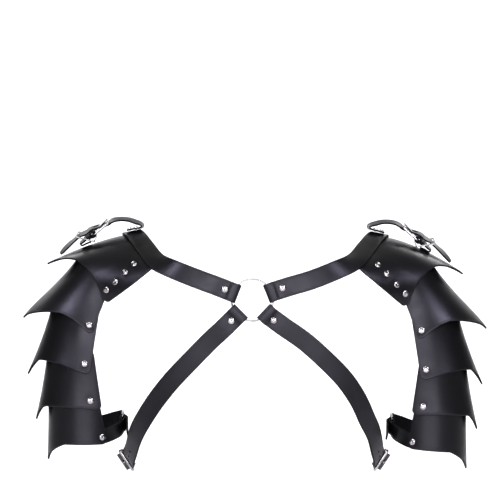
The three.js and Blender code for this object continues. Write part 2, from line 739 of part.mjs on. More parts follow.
function addArmStrap(side) {
  const swing = side.swing[PLATES.length - 1];
  const at = ([out, ...rest]) => station(side, [out + swing, ...rest]);
    const [heelOut, heelY, heelZ] = ARM_HEEL;
  const origin = place(side, heelOut + swing, heelY, heelZ);
  const buckle = barFrame(origin, ARM_LEAD, new THREE.Vector3(-side.sign, 0, 0));
  const cornerRivet = plateRivets(side, PLATES.length - 1)[0];
  const front = route([
    ...fold(reversed(buckle), ARM_STRAP.thick, ARM_BUCKLE.wire, ARM_BUCKLE.chape, 0),
    ...ARM_FRONT.map(at),
  ], STEPS);
  add(`arm_strap_front_${side.name}`, cut(ribbon(front, ARM_STRAP), [holeTool(cornerRivet)]), LEATHER);
  const back = route([
    ...ARM_BACK.map(at),
    ...throughBuckle(buckle, ARM_BUCKLE, ARM_STRAP, ARM_STRAP.thick),
    ...ARM_TAIL.map(at),
  ], STEPS);
  const tongue = cut(ribbon(back, ARM_STRAP, ARM_TIP), [slotTool(buckle, ARM_BUCKLE)]);
  add(`arm_strap_back_${side.name}`, tongue, LEATHER);
  add(`arm_buckle_frame_${side.name}`, wireLoop(buckle, ARM_BUCKLE), STEEL);
  add(`arm_buckle_prong_${side.name}`, prongGeometry(buckle, ARM_BUCKLE), STEEL);
}

addRing('front_ring', FRONT_RING);
addRing('back_ring', BACK_RING);
SIDES.forEach((side) => {
  addChestHarness(side);
  addPlates(side);
  addShoulderBuckle(side);
  addArmStrap(side);
});

export default group;
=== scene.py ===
"""Looks of a leather double pauldron with its chest harness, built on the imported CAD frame."""
import math

import bmesh
import bpy
from bpy.props import FloatProperty, PointerProperty
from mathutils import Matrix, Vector


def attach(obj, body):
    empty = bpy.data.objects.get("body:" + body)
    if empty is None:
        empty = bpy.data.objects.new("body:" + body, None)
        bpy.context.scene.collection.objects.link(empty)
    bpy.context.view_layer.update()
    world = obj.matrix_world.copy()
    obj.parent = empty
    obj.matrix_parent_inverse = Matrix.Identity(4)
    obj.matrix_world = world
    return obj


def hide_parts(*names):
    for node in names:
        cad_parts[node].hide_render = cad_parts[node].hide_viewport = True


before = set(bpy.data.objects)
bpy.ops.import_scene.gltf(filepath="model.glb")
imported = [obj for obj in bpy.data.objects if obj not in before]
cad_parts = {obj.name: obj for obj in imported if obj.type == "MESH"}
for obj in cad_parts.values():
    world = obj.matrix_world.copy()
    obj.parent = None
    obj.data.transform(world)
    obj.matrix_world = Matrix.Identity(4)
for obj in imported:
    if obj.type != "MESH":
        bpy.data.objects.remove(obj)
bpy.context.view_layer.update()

bl_info = {
    "name": "Pauldron harness",
    "version": (1, 0, 0),
    "blender": (4, 5, 0),
    "location": "3D View > Sidebar > Pauldron",
    "description": "Builds the plates, straps, buckles, rings and rivets of a leather shoulder harness",
    "category": "Add Mesh",
}

MM = 0.001

# ---- dimensions of the harness, in millimetres, as in the CAD part ----

GAP = 0.3
FOLD_ROOM = 2 * GAP + 0.05
RING_X = -4.5
FRONT_RING = {"y": -112, "z": -89.4, "face": -1, "radius": 27}
BACK_RING = {"y": 104, "z": -95, "face": 1, "radius": 29.3}
RING_REACH = 26
RING_SLACK = 2.8
# The layers of a fold meet within the first share of its reach. Between its square points, a turn's
# diagonal point has the second share of the clear radius as its height.
FOLD_CLOSES = 0.55
DIAGONAL = 0.7
DROOP_START = 135
RIVET_SEAT = 0.15
RIVET_LIFT = 0.8
TIP_BLUNT = 0.3
FOLD_COUNT = 11
STEPS = 10

# The right arm hangs lower (droop), its lower straps take a shifted route (lean) and its plates swing.
# Upper and lower tell how a strap leaves the rings: its angle, how far out its rivet sits, and its skew.
SIDES = (
    {"name": "left", "sign": -1, "droop": 0, "upper": (21.5, 11.3, 0), "lower": (-44.5, 11.2, 0),
     "lean": 0, "swing": (0, 0, 0, 0, 0)},
    {"name": "right", "sign": 1, "droop": 0.085, "upper": (22, 15, -0.08), "lower": (-43.5, 11.2, 0.13),
     "lean": 1, "swing": (0, -1, -1, 3, 4.5)},
)

# Strap stations: out, y, z and the direction that the grain side faces.
UPPER_BODY = (
    (72, -112, -63.4, 0.02, -1, 0.1),
    (105, -106, -50.5, 0.1, -1, 0.25),
    (129, -88, -39.5, 0.15, -0.85, 0.5),
    (146.6, -58, -20.4, 0.2, -0.55, 0.8),
    (159, -30, -6, 0.2, -0.25, 0.95),
    (168, 0, 0.5, 0.2, 0.02, 0.98),
    (168.5, 30, -5, 0.2, 0.3, 0.93),
    (157, 60, -20.5, 0.2, 0.6, 0.78),
    (139, 83, -41, 0.15, 0.9, 0.4),
    (113, 98, -53, 0.08, 1, 0.2),
    (80, 104, -66.5, 0.02, 1, 0.1),
)
CAP_FROM = 2
CAP_TO = 8
LOWER_FRONT = (
    (60, -111, -143, 0.05, -1, -0.03),
    (83.9, -108, -167.5, 0.12, -1, -0.06),
    (109, -102, -194, 0.28, -0.93, -0.12),
    (130.2, -93, -220.7, 0.45, -0.85, -0.2),
    (148, -79, -248, 0.62, -0.7, -0.35),
    (158.5, -63, -268, 0.74, -0.52, -0.43),
    (166, -42, -291, 0.82, -0.25, -0.52),
)
LOWER_BACK = (
    (171, 41, -299, 0.82, 0.25, -0.5),
    (165.5, 58, -278.5, 0.74, 0.52, -0.4),
    (156, 74, -261, 0.6, 0.7, -0.35),
    (139, 88, -234.5, 0.45, 0.85, -0.2),
    (117.5, 96, -207, 0.28, 0.93, -0.12),
    (91, 101, -179.5, 0.12, 1, -0.06),
    (65, 103, -153, 0.05, 1, -0.03),
)
# The first lean and the right lower skew are gentler than in the CAD part, which has 7 and 0.17 there.
LOWER_LEAN = (3.4, 7, 7.3, 4, -0.7, -2, -3.3)
BACK_LEAN = tuple(shift * 1.08 for shift in reversed(LOWER_LEAN))
BUCKLE_LEAN = -5
SIDE_BUCKLE_AT = (174, 4, -308)
SIDE_TAIL = (-22, 5.2)

# Buckles: wire is the radius of the metal, length lies between the middles of the two bars.
SIDE_BUCKLE = {"wire": 2, "length": 22, "width": 30.4, "prong": 1.5, "start": 6.2, "rest": 3.9,
               "slot": 17, "slot_at": 11, "slot_height": 1.5, "chape": 24}
SHOULDER_BUCKLE = {"wire": 1.5, "length": 25.7, "width": 20, "prong": 1.1, "start": 5, "rest": 2.95,
                   "slot": 15, "slot_at": 12, "slot_height": 1.5, "chape": 10}
ARM_BUCKLE = {"wire": 1.3, "length": 17, "width": 23.6, "prong": 1, "start": 4.6, "rest": 2.65,
              "slot": 10.5, "slot_at": 8.5, "slot_height": 1.2, "chape": 9}
KEEPER = {"wire": 1.1, "length": 26, "width": 22.4}

# Plates: each runs down to a lower hoop, from an upper hoop or, on the cap, from the shoulder strap.
# A hoop holds out, centre, depth, reach in degrees, and height at the side and at the front; a spike
# its length, half width in degrees and sharpness; a scallop its depth and skew.
PLATES = (
    {"lower": (264, 205, 61.5, 96, -34.5, -96.5), "spike": (18, 34, 1.5), "scallop": (16, 1.1),
     "crown": 0, "curl": 0, "rivets": ((0.831, 0.271), (0.86, 0.478), (0.885, 0.696), (0.895, 0.883))},
    {"upper": (239, 200, 55.6, 104, -34, -67.5), "lower": (303, 228, 62.5, 98, -98, -139),
     "spike": (21, 60, 1.3), "scallop": (10, 1.75), "crown": 7, "curl": 6, "rivets": ((0.94, 0.877),)},
    {"upper": (271, 216, 53.2, 98, -86, -111), "lower": (301, 231, 61.5, 99, -176, -191),
     "spike": (18, 30, 1.5), "scallop": (8, 1), "crown": 4, "curl": 0, "rivets": ((0.925, 0.845),)},
    {"upper": (280, 226, 54.3, 102, -156, -163), "lower": (293, 232, 54.5, 117, -236, -238),
     "spike": (18, 36, 1.5), "scallop": (3, 1), "crown": 2, "curl": 0, "rivets": ((0.88, 0.843),)},
    {"upper": (279.5, 231, 50, 114, -215, -212.6), "lower": (280, 231, 50, 132, -284, -284),
     "spike": (24, 62, 1.2), "scallop": (0, 1), "crown": 0.5, "curl": 0, "rivets": ((0.94, 0.862),)},
)
BACK_SHORT = 11
CORNER_FROM = 0.92
CORNER_LIFT = 8
CURL_POWER = 5
CAP_LEAD = 0.45
CAP_INSET = 5
CAP_BELOW = 1
PLATE_THICK = 2.4

# Narrow strap over the cap, its chape, buckle and keeper.
FORWARD_TILT = -0.34
HEEL_BAR = (220, -6, -1.6)
OUTER_BAR = (199.8, -6, 14.9)
KEEPER_FROM = (216.4, -6, -9.4)
KEEPER_TO = (245, -6, -2.5)
NARROW_FIXED_END = (
    (174, -6, 2.5, -0.2, 0, -1),
    (165, -6, 4.2, -0.2, 0, -1),
    (158, -6, 5.3, -0.2, 0, -1),
    (153.6, -6, 6.8, -0.8, -0.1, -0.6),
    (153.2, -6, 9.3, -1, -0.2, 0.2),
    (156, -6, 11.5, -0.5, -0.3, 0.86),
    (162, -6, 13.6, -0.35, -0.34, 0.9),
    (171, -6, 16.6, -0.15, -0.34, 1),
    (181, -6, 17.6, 0.05, -0.34, 1),
    (189, -6, 16.8, 0.3, -0.34, 0.9),
)
NARROW_TAIL = (
    (236, -6, -3.6, 0.55, -0.3, 0.8),
    (244, -6, -10, 0.65, -0.3, 0.7),
    (254, -6, -18.8, 0.7, -0.45, 0.7),
    (264, -6, -29.6, 0.7, -0.5, 0.65),
)
CHAPE_FOOT = (
    (232.6, -6, -11.8, 0.7, -0.28, 0.65),
    (236.8, -6, -15.6, 1, -0.15, 0),
    (234.8, -6, -18.2, 0.1, 0, -1),
    (229, -6, -15.8, -0.38, 0.05, -0.92),
    (223, -6, -13.6, -0.38, 0.05, -0.92),
)

# Arm strap: a front part that holds the buckle and a back part that runs through it.
ARM_HEEL = (180, -3, -259)
ARM_ALONG = Vector((0, 0.95, 0.31))
ARM_FRONT = (
    (183.5, -19, -266, -0.9, -0.45, 0),
    (195, -30, -271, -0.75, -0.65, 0),
    (207.5, -38.7, -274, -0.5, -0.86, 0),
    (219, -43.2, -274, -0.25, -0.97, 0),
)
ARM_BACK = (
    (219, 43.6, -263, -0.25, 0.97, 0),
    (207.5, 39, -261, -0.5, 0.86, 0),
    (196, 30.5, -257, -0.75, 0.65, 0),
    (187, 21.5, -254, -0.9, 0.4, 0),
)
ARM_TAIL = (
    (172.5, -17, -267, -1, -0.05, 0.05),
    (172, -25, -271, -1, -0.15, 0.1),
)

# Widths of the straps; their thickness is among the properties below.
STRAP_WIDTH = 25
NARROW = (16, 2.2)
ARM_STRAP = (20, 2.2)
SIDE_TIP, NARROW_TIP, ARM_TIP = 4, 4, 3

# Rivets: length of the shank behind the cap's seat. On a ring fold it is longer than both layers with
# their gap by FOLD_RIVET_PAST.
PLATE_RIVET = 11
LAST_RIVET = 8
FOLD_RIVET_PAST = 1.8
# The small rivets of the narrow strap's fixed end, and the frames of its route that they sit on.
ANCHOR_RIVET = {"length": 5, "cap": 3.2, "dome": 1.5, "foot": 2}
ANCHOR_FRAMES = (4, 14)

# Spare holes of the chest straps, counted back from the tip.
PUNCHED_HOLE = 1.3
HOLES_FROM = 48
HOLE_PITCH = 12
HOLE_COUNT = 3

# A rivet cap's rim and foot, in metres, and the angle over which its shading breaks.
RIVET_SHARP = math.radians(40)
CAP_RIM = 0.0008
FOOT_THICK = 0.0008

# Leather: dark, light, and how far the creased line lies from the edge; then the band beside the edge (in
# millimetres) where a painted highlight stands for the light that the bevel catches, the share and grey
# of that highlight, the tint of its shine, the polish of wear and the depths of the relief.
LEATHER_TONES = {
    "plate": ("#0a0a0a", "#131313", 3.0),
    "strap": ("#090909", "#111111", 2.4),
}
EDGE_HIGHLIGHT_FROM, EDGE_HIGHLIGHT_TO = 0.5, 1.9
EDGE_HIGHLIGHT_SHARE = 0.55
# Grey of the painted highlight beside the cut edge, lighter than the leather.
EDGE_HIGHLIGHT_GREY = "#232323"
COOL_SHEEN = "#f8f7fb"
WEAR_POLISH = 0.05
PORE_DEPTH = 0.25
GROOVE_DEPTH = 1.6


# ---- places and directions ----


def place(side, out, y, z):
    """Point on one side, with that side's droop, in millimetres."""
    return Vector((side["sign"] * out, y, z - side["droop"] * max(0, out - DROOP_START)))


def station(side, entry, shift=0):
    out, y, z, n_out, n_y, n_z = entry
    normal = Vector((side["sign"] * n_out, n_y, n_z)).normalized()
    return place(side, out + shift, y, z), normal


def stations(side, table, shift=0):
    return [station(side, entry, shift) for entry in table]


def bar_frame(origin, along, normal):
    """Origin, direction away from the bar, direction away from the body, direction along the bar."""
    a = along.normalized()
    n = (normal - a * normal.dot(a)).normalized()
    return origin, a, n, a.cross(n)


def in_frame(bar, a, h, w=0):
    origin, along, normal, across = bar
    return origin + along * a + normal * h + across * w


def turned(bar):
    origin, along, normal, _ = bar
    return bar_frame(origin, -along, normal)


def fold(bar, thick, wire, reach, slack, skew=0):
    """Stations of a strap end that goes round a bar and lies under itself, hidden end first."""
    layer = thick / 2 + GAP / 2
    clear = wire + FOLD_ROOM + thick / 2
    closed = min(reach * FOLD_CLOSES, clear + 2 * thick)
    turn = -slack - DIAGONAL * clear
    rows = (
        (reach, -layer, 0, -1),
        (closed, -layer - GAP, 0, -1),
        (clear, -clear, -0.2, -1),
        (-slack, -clear, 0, -1),
        (turn, -DIAGONAL * clear, -1, -1),
        (-slack - clear, 0, -1, 0),
        (turn, DIAGONAL * clear, -1, 1),
        (-slack, clear, 0, 1),
        (clear, clear, 0.2, 1),
        (closed, layer + GAP, 0, 1),
        (reach, layer, 0, 1),
    )
    _, along, normal, _ = bar
    return [
        (in_frame(bar, a, h, skew * max(0, a - clear)), (along * na + normal * nh).normalized())
        for a, h, na, nh in rows
    ]


def through_buckle(bar, buckle, thick):
    """Stations of a strap that comes under the outer bar and leaves over the heel bar."""
    low = -(buckle["wire"] + 2 * GAP + thick / 2)
    high = buckle["wire"] + 6 * GAP + thick * 1.5
    length = buckle["length"]
    rows = (
        (length + 4, low, 0),
        (length - 1, low, 0),
        (length * 0.5, (low + high) / 2, 0.45),
        (1, high, 0.1),
        (-6, high, 0),
    )
    _, along, normal, _ = bar
    return [(in_frame(bar, a, h), (normal + along * tilt).normalized()) for a, h, tilt in rows]


def spline(points, t):
    """Point on a centripetal Catmull-Rom curve through the points, t from 0 to 1."""
    last = len(points) - 1
    at = t * last
    i = min(int(at), last - 1)
    w = at - i
    p1 = points[i]
    p2 = points[i + 1]
    p0 = points[i - 1] if i > 0 else p1 * 2 - p2
    p3 = points[i + 2] if i + 2 <= last else p2 * 2 - p1
    d1 = (p2 - p1).length ** 0.5 or 1.0
    d0 = (p1 - p0).length ** 0.5 or d1
    d2 = (p3 - p2).length ** 0.5 or d1
    m1 = ((p1 - p0) / d0 - (p2 - p0) / (d0 + d1) + (p2 - p1) / d1) * d1
    m2 = ((p2 - p1) / d1 - (p3 - p1) / (d1 + d2) + (p3 - p2) / d2) * d1
    return (
        p1
        + m1 * w
        + ((p2 - p1) * 3 - m1 * 2 - m2) * w * w
        + ((p1 - p2) * 2 + m1 + m2) * w ** 3
    )


def route(stations, steps=STEPS):
    """Frames along a strap: point, normal, along and across."""
    points = [point for point, _ in stations]
    normals = [normal for _, normal in stations]
    count = (len(stations) - 1) * steps
    frames = []
    for i in range(count + 1):
        t = i / count
        ahead = spline(points, min(1, t + 1e-4))
        along = (ahead - spline(points, max(0, t - 1e-4))).normalized()
        normal = spline(normals, t)
        normal = (normal - along * normal.dot(along)).normalized()
        frames.append((spline(points, t), normal, along, along.cross(normal)))
    return frames


def ring_frame(side, ring, end):
    angle = math.radians(end[0])
    leading = Vector((side["sign"] * math.cos(angle), 0, math.sin(angle)))
    centre = Vector((RING_X, ring["y"], ring["z"]))
    return bar_frame(centre + leading * ring["radius"], leading, Vector((0, ring["face"], 0)))


def ring_fold(side, ring, end):
    bar = ring_frame(side, ring, end)
    skew = math.copysign(end[2], bar[3].z * end[2])
    return fold(bar, strap_thick(), sizes().ring_wire / MM, RING_REACH, RING_SLACK, skew)


def upper_stations(side):
    return (
        ring_fold(side, FRONT_RING, side["upper"])
        + stations(side, UPPER_BODY)
        + ring_fold(side, BACK_RING, side["upper"])[::-1]
    )


def lower_stations(side, table, leans):
    """The lower straps keep their heights on both sides."""
    flat = dict(side, droop=0)
    return [station(flat, entry, side["lean"] * lean) for entry, lean in zip(table, leans)]


def side_buckle_frame(side):
    out, y, z = SIDE_BUCKLE_AT
    origin = place(dict(side, droop=0), out + side["lean"] * BUCKLE_LEAN, y, z)
    return bar_frame(origin, Vector((0, -1, 0)), Vector((side["sign"] * 0.83, 0, -0.56)))


def tilted_frame(side, start, end):
    origin = place(side, *start)
    along = (place(side, *end) - origin).normalized()
    up = Vector((0, 0, 1)) - along * along.z
    return bar_frame(origin, along, up.normalized() + Vector((0, FORWARD_TILT, 0)))


def arm_buckle_frame(side):
    out, y, z = ARM_HEEL
    origin = place(side, out + side["swing"][-1], y, z)
    return bar_frame(origin, ARM_ALONG, Vector((-side["sign"], 0, 0)))


# ---- the plates' surfaces ----


def on_hoop(side, hoop, t, swing):
    out, centre, depth, reach, side_z, front_z = hoop
    angle = math.radians(t * (reach - BACK_SHORT) if t < 0 else t * reach)
    drop = (1 - math.cos(angle)) / (1 - math.cos(math.radians(reach)))
    return place(
        side,
        centre + swing + (out - centre) * math.cos(angle),
        -depth * math.sin(angle),
        side_z + (front_z - side_z) * drop,
    )


def spike_share(plate, t):
    """Share of the spike's length at t, 1 at its tip."""
    at = abs(t) * plate["lower"][3] / plate["spike"][1]
    return (1 - at) ** plate["spike"][2] if at < 1 else 0


def edge_length(plate, t):
    """Extra length at t: the spike at the side, the scallop between, the round corner."""
    depth, skew = plate["scallop"]
    corner = max(0, (abs(t) - CORNER_FROM) / (1 - CORNER_FROM))
    corner = CORNER_LIFT * (1 - math.sqrt(max(0, 1 - corner * corner)))
    return plate["spike"][0] * spike_share(plate, t) - depth * math.sin(math.pi * abs(t) ** skew) - corner


def cap_rail(side):
    """The cap's inner edge follows the underside of the shoulder strap."""
    frames = route(upper_stations(side))
    start = (FOLD_COUNT + CAP_FROM) * STEPS
    span = (CAP_TO - CAP_FROM) * STEPS
    under = strap_thick() / 2 + PLATE_THICK / 2 + CAP_BELOW

    def rail(t):
        at = start + (1 - t) / 2 * span
        i = min(int(at), start + span - 1)
        point, normal, _, across = (p.lerp(q, at - i) for p, q in zip(frames[i], frames[i + 1]))
        lead = across * math.copysign(1, across.x * side["sign"])
        return point + lead * CAP_INSET - normal * under, lead.normalized()

    return rail


def plate_surface(side, index):
    """A plate's middle surface, t from -1 at the back end to 1 at the front end, s from 0 to 1."""
    plate = PLATES[index]
    swing = side["swing"][index]
    rail = None if "upper" in plate else cap_rail(side)

    def surface(t, s):
        bottom = on_hoop(side, plate["lower"], t, swing)
        if rail:
            start, lead = rail(t)
            length = (bottom - start).length
            middle = start + lead * (length * CAP_LEAD)
        else:
            start = on_hoop(side, plate["upper"], t, swing)
            length = (bottom - start).length
            ahead = on_hoop(side, plate["upper"], t + 0.01, swing) - start
            out = ahead.cross(bottom - start).normalized() * -side["sign"]
            middle = start.lerp(bottom, 0.5) + out * plate["crown"]
        reach = s * (1 + edge_length(plate, t) / length)
        curl = plate["curl"] * spike_share(plate, t) * s ** CURL_POWER
        point = start * (1 - reach) ** 2 + middle * 2 * reach * (1 - reach) + bottom * reach * reach
        return point + Vector((-side["sign"] * curl, 0, -curl))

    return surface


def seat_on(side, surface, t, s):
    """Where a rivet's cap seats on a plate, and the plate's outward direction there."""
    step = 0.01
    point = surface(t, s)
    down = surface(t, s + step) - point
    normal = (surface(t - step, s) - point).cross(down).normalized() * side["sign"]
    if normal.y > 0:
        normal = -normal
    return point + normal * (PLATE_THICK / 2 + RIVET_SEAT), normal


def plate_rivets(side, index):
    surface = plate_surface(side, index)
    return [seat_on(side, surface, t, s) for t, s in PLATES[index]["rivets"]]


def ring_rivet(side, ring, end):
    bar = ring_frame(side, ring, end)
    thick = strap_thick()
    return in_frame(bar, end[1], thick + GAP / 2 + RIVET_LIFT), bar[2]


# ---- meshes ----

GRAIN, FLESH, CUT_EDGE = 0, 1, 2
EDGE_ATTRIBUTE = "from_edge"
CORNER_STEPS = 3
CUT_ROUND = 0.8
EDGE_BAND = 2
FACE_STOPS = (0.55, 0.2)
# Distance counted for each frame of a strap, so that the edge band, with its painted highlight and
# groove, also runs along its ends.
FRAME_APART = 2.0

# Tools that cut the holes: room beside a prong, steps of a round end, and reach to each side.
PRONG_ROOM = 0.8
SLOT_STEPS = 8
SLOT_TOOL_REACH = 4.5
PUNCH_REACH = 2.5

WIRE_SIDES = 14
BEND_SHARE = 1.5
BEND_STEPS = 7
PRONG_STEPS = 8
PRONG_POINT = 0.6
RING_TURNS = 120


def make_object(name, points, faces, materials, slots=None, from_edge=None):
    """A smooth mesh with its place in its vertices; points are in millimetres."""
    mesh = bpy.data.meshes.new(name)
    mesh.from_pydata([point * MM for point in points], [], faces)
    for material in materials:
        mesh.materials.append(material)
    if slots:
        mesh.polygons.foreach_set("material_index", slots)
    if from_edge:
        layer = mesh.attributes.new(EDGE_ATTRIBUTE, "FLOAT", "POINT")
        layer.data.foreach_set("value", from_edge)
    mesh.polygons.foreach_set("use_smooth", [True] * len(mesh.polygons))
    made = bpy.data.objects.new(name, mesh)
    bpy.context.scene.collection.objects.link(made)
    face_outwards(mesh)
    return made


def face_outwards(mesh):
    """Turns the faces of closed shells outwards."""
    shell = bmesh.new()
    shell.from_mesh(mesh)
    bmesh.ops.recalc_face_normals(shell, faces=shell.faces)
    shell.to_mesh(mesh)
    shell.free()
    mesh.update()


def plain_mesh(made):
    """Turns the modifiers' result into the object's own mesh."""
    bpy.context.view_layer.update()
    graph = bpy.context.evaluated_depsgraph_get()
    result = bpy.data.meshes.new_from_object(made.evaluated_get(graph), depsgraph=graph)
    old = made.data
    name = old.name
    made.modifiers.clear()
    made.data = result
    bpy.data.meshes.remove(old)
    result.name = name


def finish_piece(made, nodes):
    """Hangs a finished piece on the frame in place of its CAD nodes."""
    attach(made, "root")
    if nodes:
        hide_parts(*nodes)


def join_rings(rings, closed):
    """Points and faces of a tube through rings of points, with its ends closed."""
    sides = len(rings[0])
    spans = len(rings) if closed else len(rings) - 1
    faces = []
    for i in range(spans):
        a = i * sides
        b = (i + 1) % len(rings) * sides
        faces += [(a + j, b + j, b + (j + 1) % sides, a + (j + 1) % sides) for j in range(sides)]
    if not closed:
        last = (len(rings) - 1) * sides
        faces.append(tuple(range(sides)))
        faces.append(tuple(last + j for j in reversed(range(sides))))
    return [point for ring in rings for point in ring], faces


def tube(name, rings, closed, material):
    points, faces = join_rings(rings, closed)
    return make_object(name, points, faces, [material])


def strap_section(width, thick):
    """Outline of a strap: across, height, distance from the edge, and the finish up to the next point."""
    half, rise = width / 2, thick / 2
    stops = [half - CUT_ROUND, half - EDGE_BAND] + [half * share for share in FACE_STOPS]
    face = [(x, rise) for x in [-x for x in stops] + stops[:0:-1]]
    corner = []
    for first, middle in ((90, rise - CUT_ROUND), (0, CUT_ROUND - rise)):
        for k in range(CORNER_STEPS + 1):
            angle = math.radians(first - 90 * k / CORNER_STEPS)
            x = half - CUT_ROUND + CUT_ROUND * math.cos(angle)
            corner.append((x, middle + CUT_ROUND * math.sin(angle)))
    outline = []
    for turn, finish in ((1, GRAIN), (-1, FLESH)):
        outline += [(x * turn, y * turn, half - abs(x), finish) for x, y in face]
        outline += [(x * turn, y * turn, half - abs(x), CUT_EDGE) for x, y in corner[:-1]]
    return outline


def make_strap(name, frames, width, thick, tip=0):
    """A strap with rounded cut edges along a route; tip is how many frames its end tapers over."""
    section = strap_section(width, thick)
    rings = []
    edges = []
    for i, (point, normal, _, across) in enumerate(frames):
        left = (len(frames) - 1 - i) / max(tip, 1)
        taper = 1
        if tip and left < 1:
            taper = TIP_BLUNT + (1 - TIP_BLUNT) * math.sqrt(1 - (1 - left) ** 2)
        rings.append([point + across * (x * taper) + normal * y for x, y, _, _ in section])
        to_end = min(i, len(frames) - 1 - i) * FRAME_APART
        edges += [min(edge * taper, to_end) for _, _, edge, _ in section]
    points, faces = join_rings(rings, False)
    slots = [finish for _ in range(len(rings) - 1) for _, _, _, finish in section] + [CUT_EDGE] * 2
    return make_object(name, points, faces, leathers("strap"), slots, edges)


def cut_holes(strap, cutters):
    """Takes the cutters out of a strap; the walls of a hole keep the cutter's cut-edge finish."""
    for cutter in cutters:
        hole = strap.modifiers.new("hole", "BOOLEAN")
        hole.operation = "DIFFERENCE"
        hole.solver = "EXACT"
        hole.material_mode = "TRANSFER"
        hole.object = cutter
    plain_mesh(strap)
    for cutter in cutters:
        bpy.data.objects.remove(cutter)


def slot_cutter(bar, buckle):
    """A long hole with round ends where the prong passes."""
    half = buckle["prong"] + PRONG_ROOM
    reach = buckle["slot"] / 2 - half
    outline = []
    for centre, start in ((reach, -90), (-reach, 90)):
        for k in range(SLOT_STEPS + 1):
            angle = math.radians(start + 180 * k / SLOT_STEPS)
            outline.append((buckle["slot_at"] + centre + half * math.cos(angle), half * math.sin(angle)))
    height = buckle["slot_height"]
    levels = (height - SLOT_TOOL_REACH, height + SLOT_TOOL_REACH)
    rings = [[in_frame(bar, a, level, w) for a, w in outline] for level in levels]
    return tube("slot_tool", rings, False, leathers("strap")[CUT_EDGE])


def wire_ring(point, normal, across, radius):
    turns = [math.tau * j / WIRE_SIDES for j in range(WIRE_SIDES)]
    return [point + normal * (radius * math.cos(t)) + across * (radius * math.sin(t)) for t in turns]


def wire_loop(name, bar, shape, material):
    """A rounded rectangle of wire: bars at 0 and length, sides at half the width."""
    wire, length, width = shape["wire"], shape["length"], shape["width"]
    corner = wire * BEND_SHARE
    low, high, side = corner, length - corner, width / 2 - corner
    corners = ((high, side, 0), (low, side, 90), (low, -side, 180), (high, -side, 270))
    _, along, normal, across = bar
    rings = []
    for a, w, first in corners:
        for k in range(BEND_STEPS + 1):
            angle = math.radians(first + 90 * k / BEND_STEPS)
            out = along * math.cos(angle) + across * math.sin(angle)
            rings.append(wire_ring(in_frame(bar, a, 0, w) + out * corner, normal, out, wire))
    return tube(name, rings, True, material)


def prong(name, bar, shape, material):
    """A tapered prong from beside the heel bar to its rest on the outer bar."""
    length, rest = shape["length"], shape["rest"]
    # Each row: away from the heel bar, height over it, and share of the prong's full radius.
    rows = (
        (shape["start"], 0.5, 0.8),
        (length * 0.3, 1.0, 1),
        (length * 0.5, 2, 1),
        (length * 0.85, rest, 1),
        (length, rest + 0.3, 0.9),
        (length + 2.5, rest - 0.6, 0.55),
    )
    centres = [in_frame(bar, a, h) for a, h, _ in rows]
    scales = [Vector((scale, 0, 0)) for _, _, scale in rows]
    count = (len(rows) - 1) * PRONG_STEPS
    _, _, normal, across = bar
    rings = []
    for i in range(count + 1):
        t = i / count
        radius = shape["prong"] * spline(scales, t).x
        if i == count:
            radius *= PRONG_POINT
        rings.append(wire_ring(spline(centres, t), normal, across, radius))
    return tube(name, rings, False, material)


def ring_piece(name, ring, material):
    wire = sizes().ring_wire / MM
    centre = Vector((RING_X, ring["y"], ring["z"]))
    rings = []
    for i in range(RING_TURNS):
        angle = math.tau * i / RING_TURNS
        out = Vector((math.cos(angle), 0, math.sin(angle)))
        rings.append(wire_ring(centre + out * ring["radius"], Vector((0, 1, 0)), out, wire))
    return tube(name, rings, True, material)


# ---- plates ----

PLATE_COLUMNS = 46
CORNER_COLUMNS = 7
PLATE_ROWS = 38
ROUND_AT = (0, 0.1, 0.3, 0.8)
END_SAMPLE = 0.02
DENT_DEPTH = 0.55
DENT_REACH = 5.5


def column_stops():
    flat = [CORNER_FROM * i / PLATE_COLUMNS for i in range(PLATE_COLUMNS + 1)]
    turn = math.pi / 2 / CORNER_COLUMNS
    corner = [CORNER_FROM + (1 - CORNER_FROM) * math.sin(turn * k) for k in range(1, CORNER_COLUMNS)]
    return flat + corner


def wall_half(distance):
    """Half thickness of a plate near its edge, where the cut edge is rounded over."""
    inside = CUT_ROUND - min(distance, CUT_ROUND)
    return PLATE_THICK / 2 - CUT_ROUND + math.sqrt(CUT_ROUND ** 2 - inside ** 2)


def plate_grid(surface):
    """Rows of (point, distance from the edge) over a plate, closer together at its edges."""
    grid = []
    width = (surface(1, 0.5) - surface(1 - END_SAMPLE, 0.5)).length / END_SAMPLE
    ends = [1 - d / width for d in reversed(ROUND_AT)]
    stops = [t for t in column_stops() if t < ends[0]] + ends
    stops = [-t for t in reversed(stops[1:])] + stops
    for t in stops:
        length = (surface(t, 1) - surface(t, 0.5)).length * 2
        near = [d / length for d in ROUND_AT]
        rows = near + [near[-1] + (1 - 2 * near[-1]) * k / PLATE_ROWS for k in range(1, PLATE_ROWS)]
        rows += [1 - d for d in reversed(near)]
        line = []
        for s in rows:
            point = surface(t, s)
            edge = min((1 - s) * length, s * length, (1 - abs(t)) * width)
            line.append((point, edge))
        grid.append(line)
    return grid


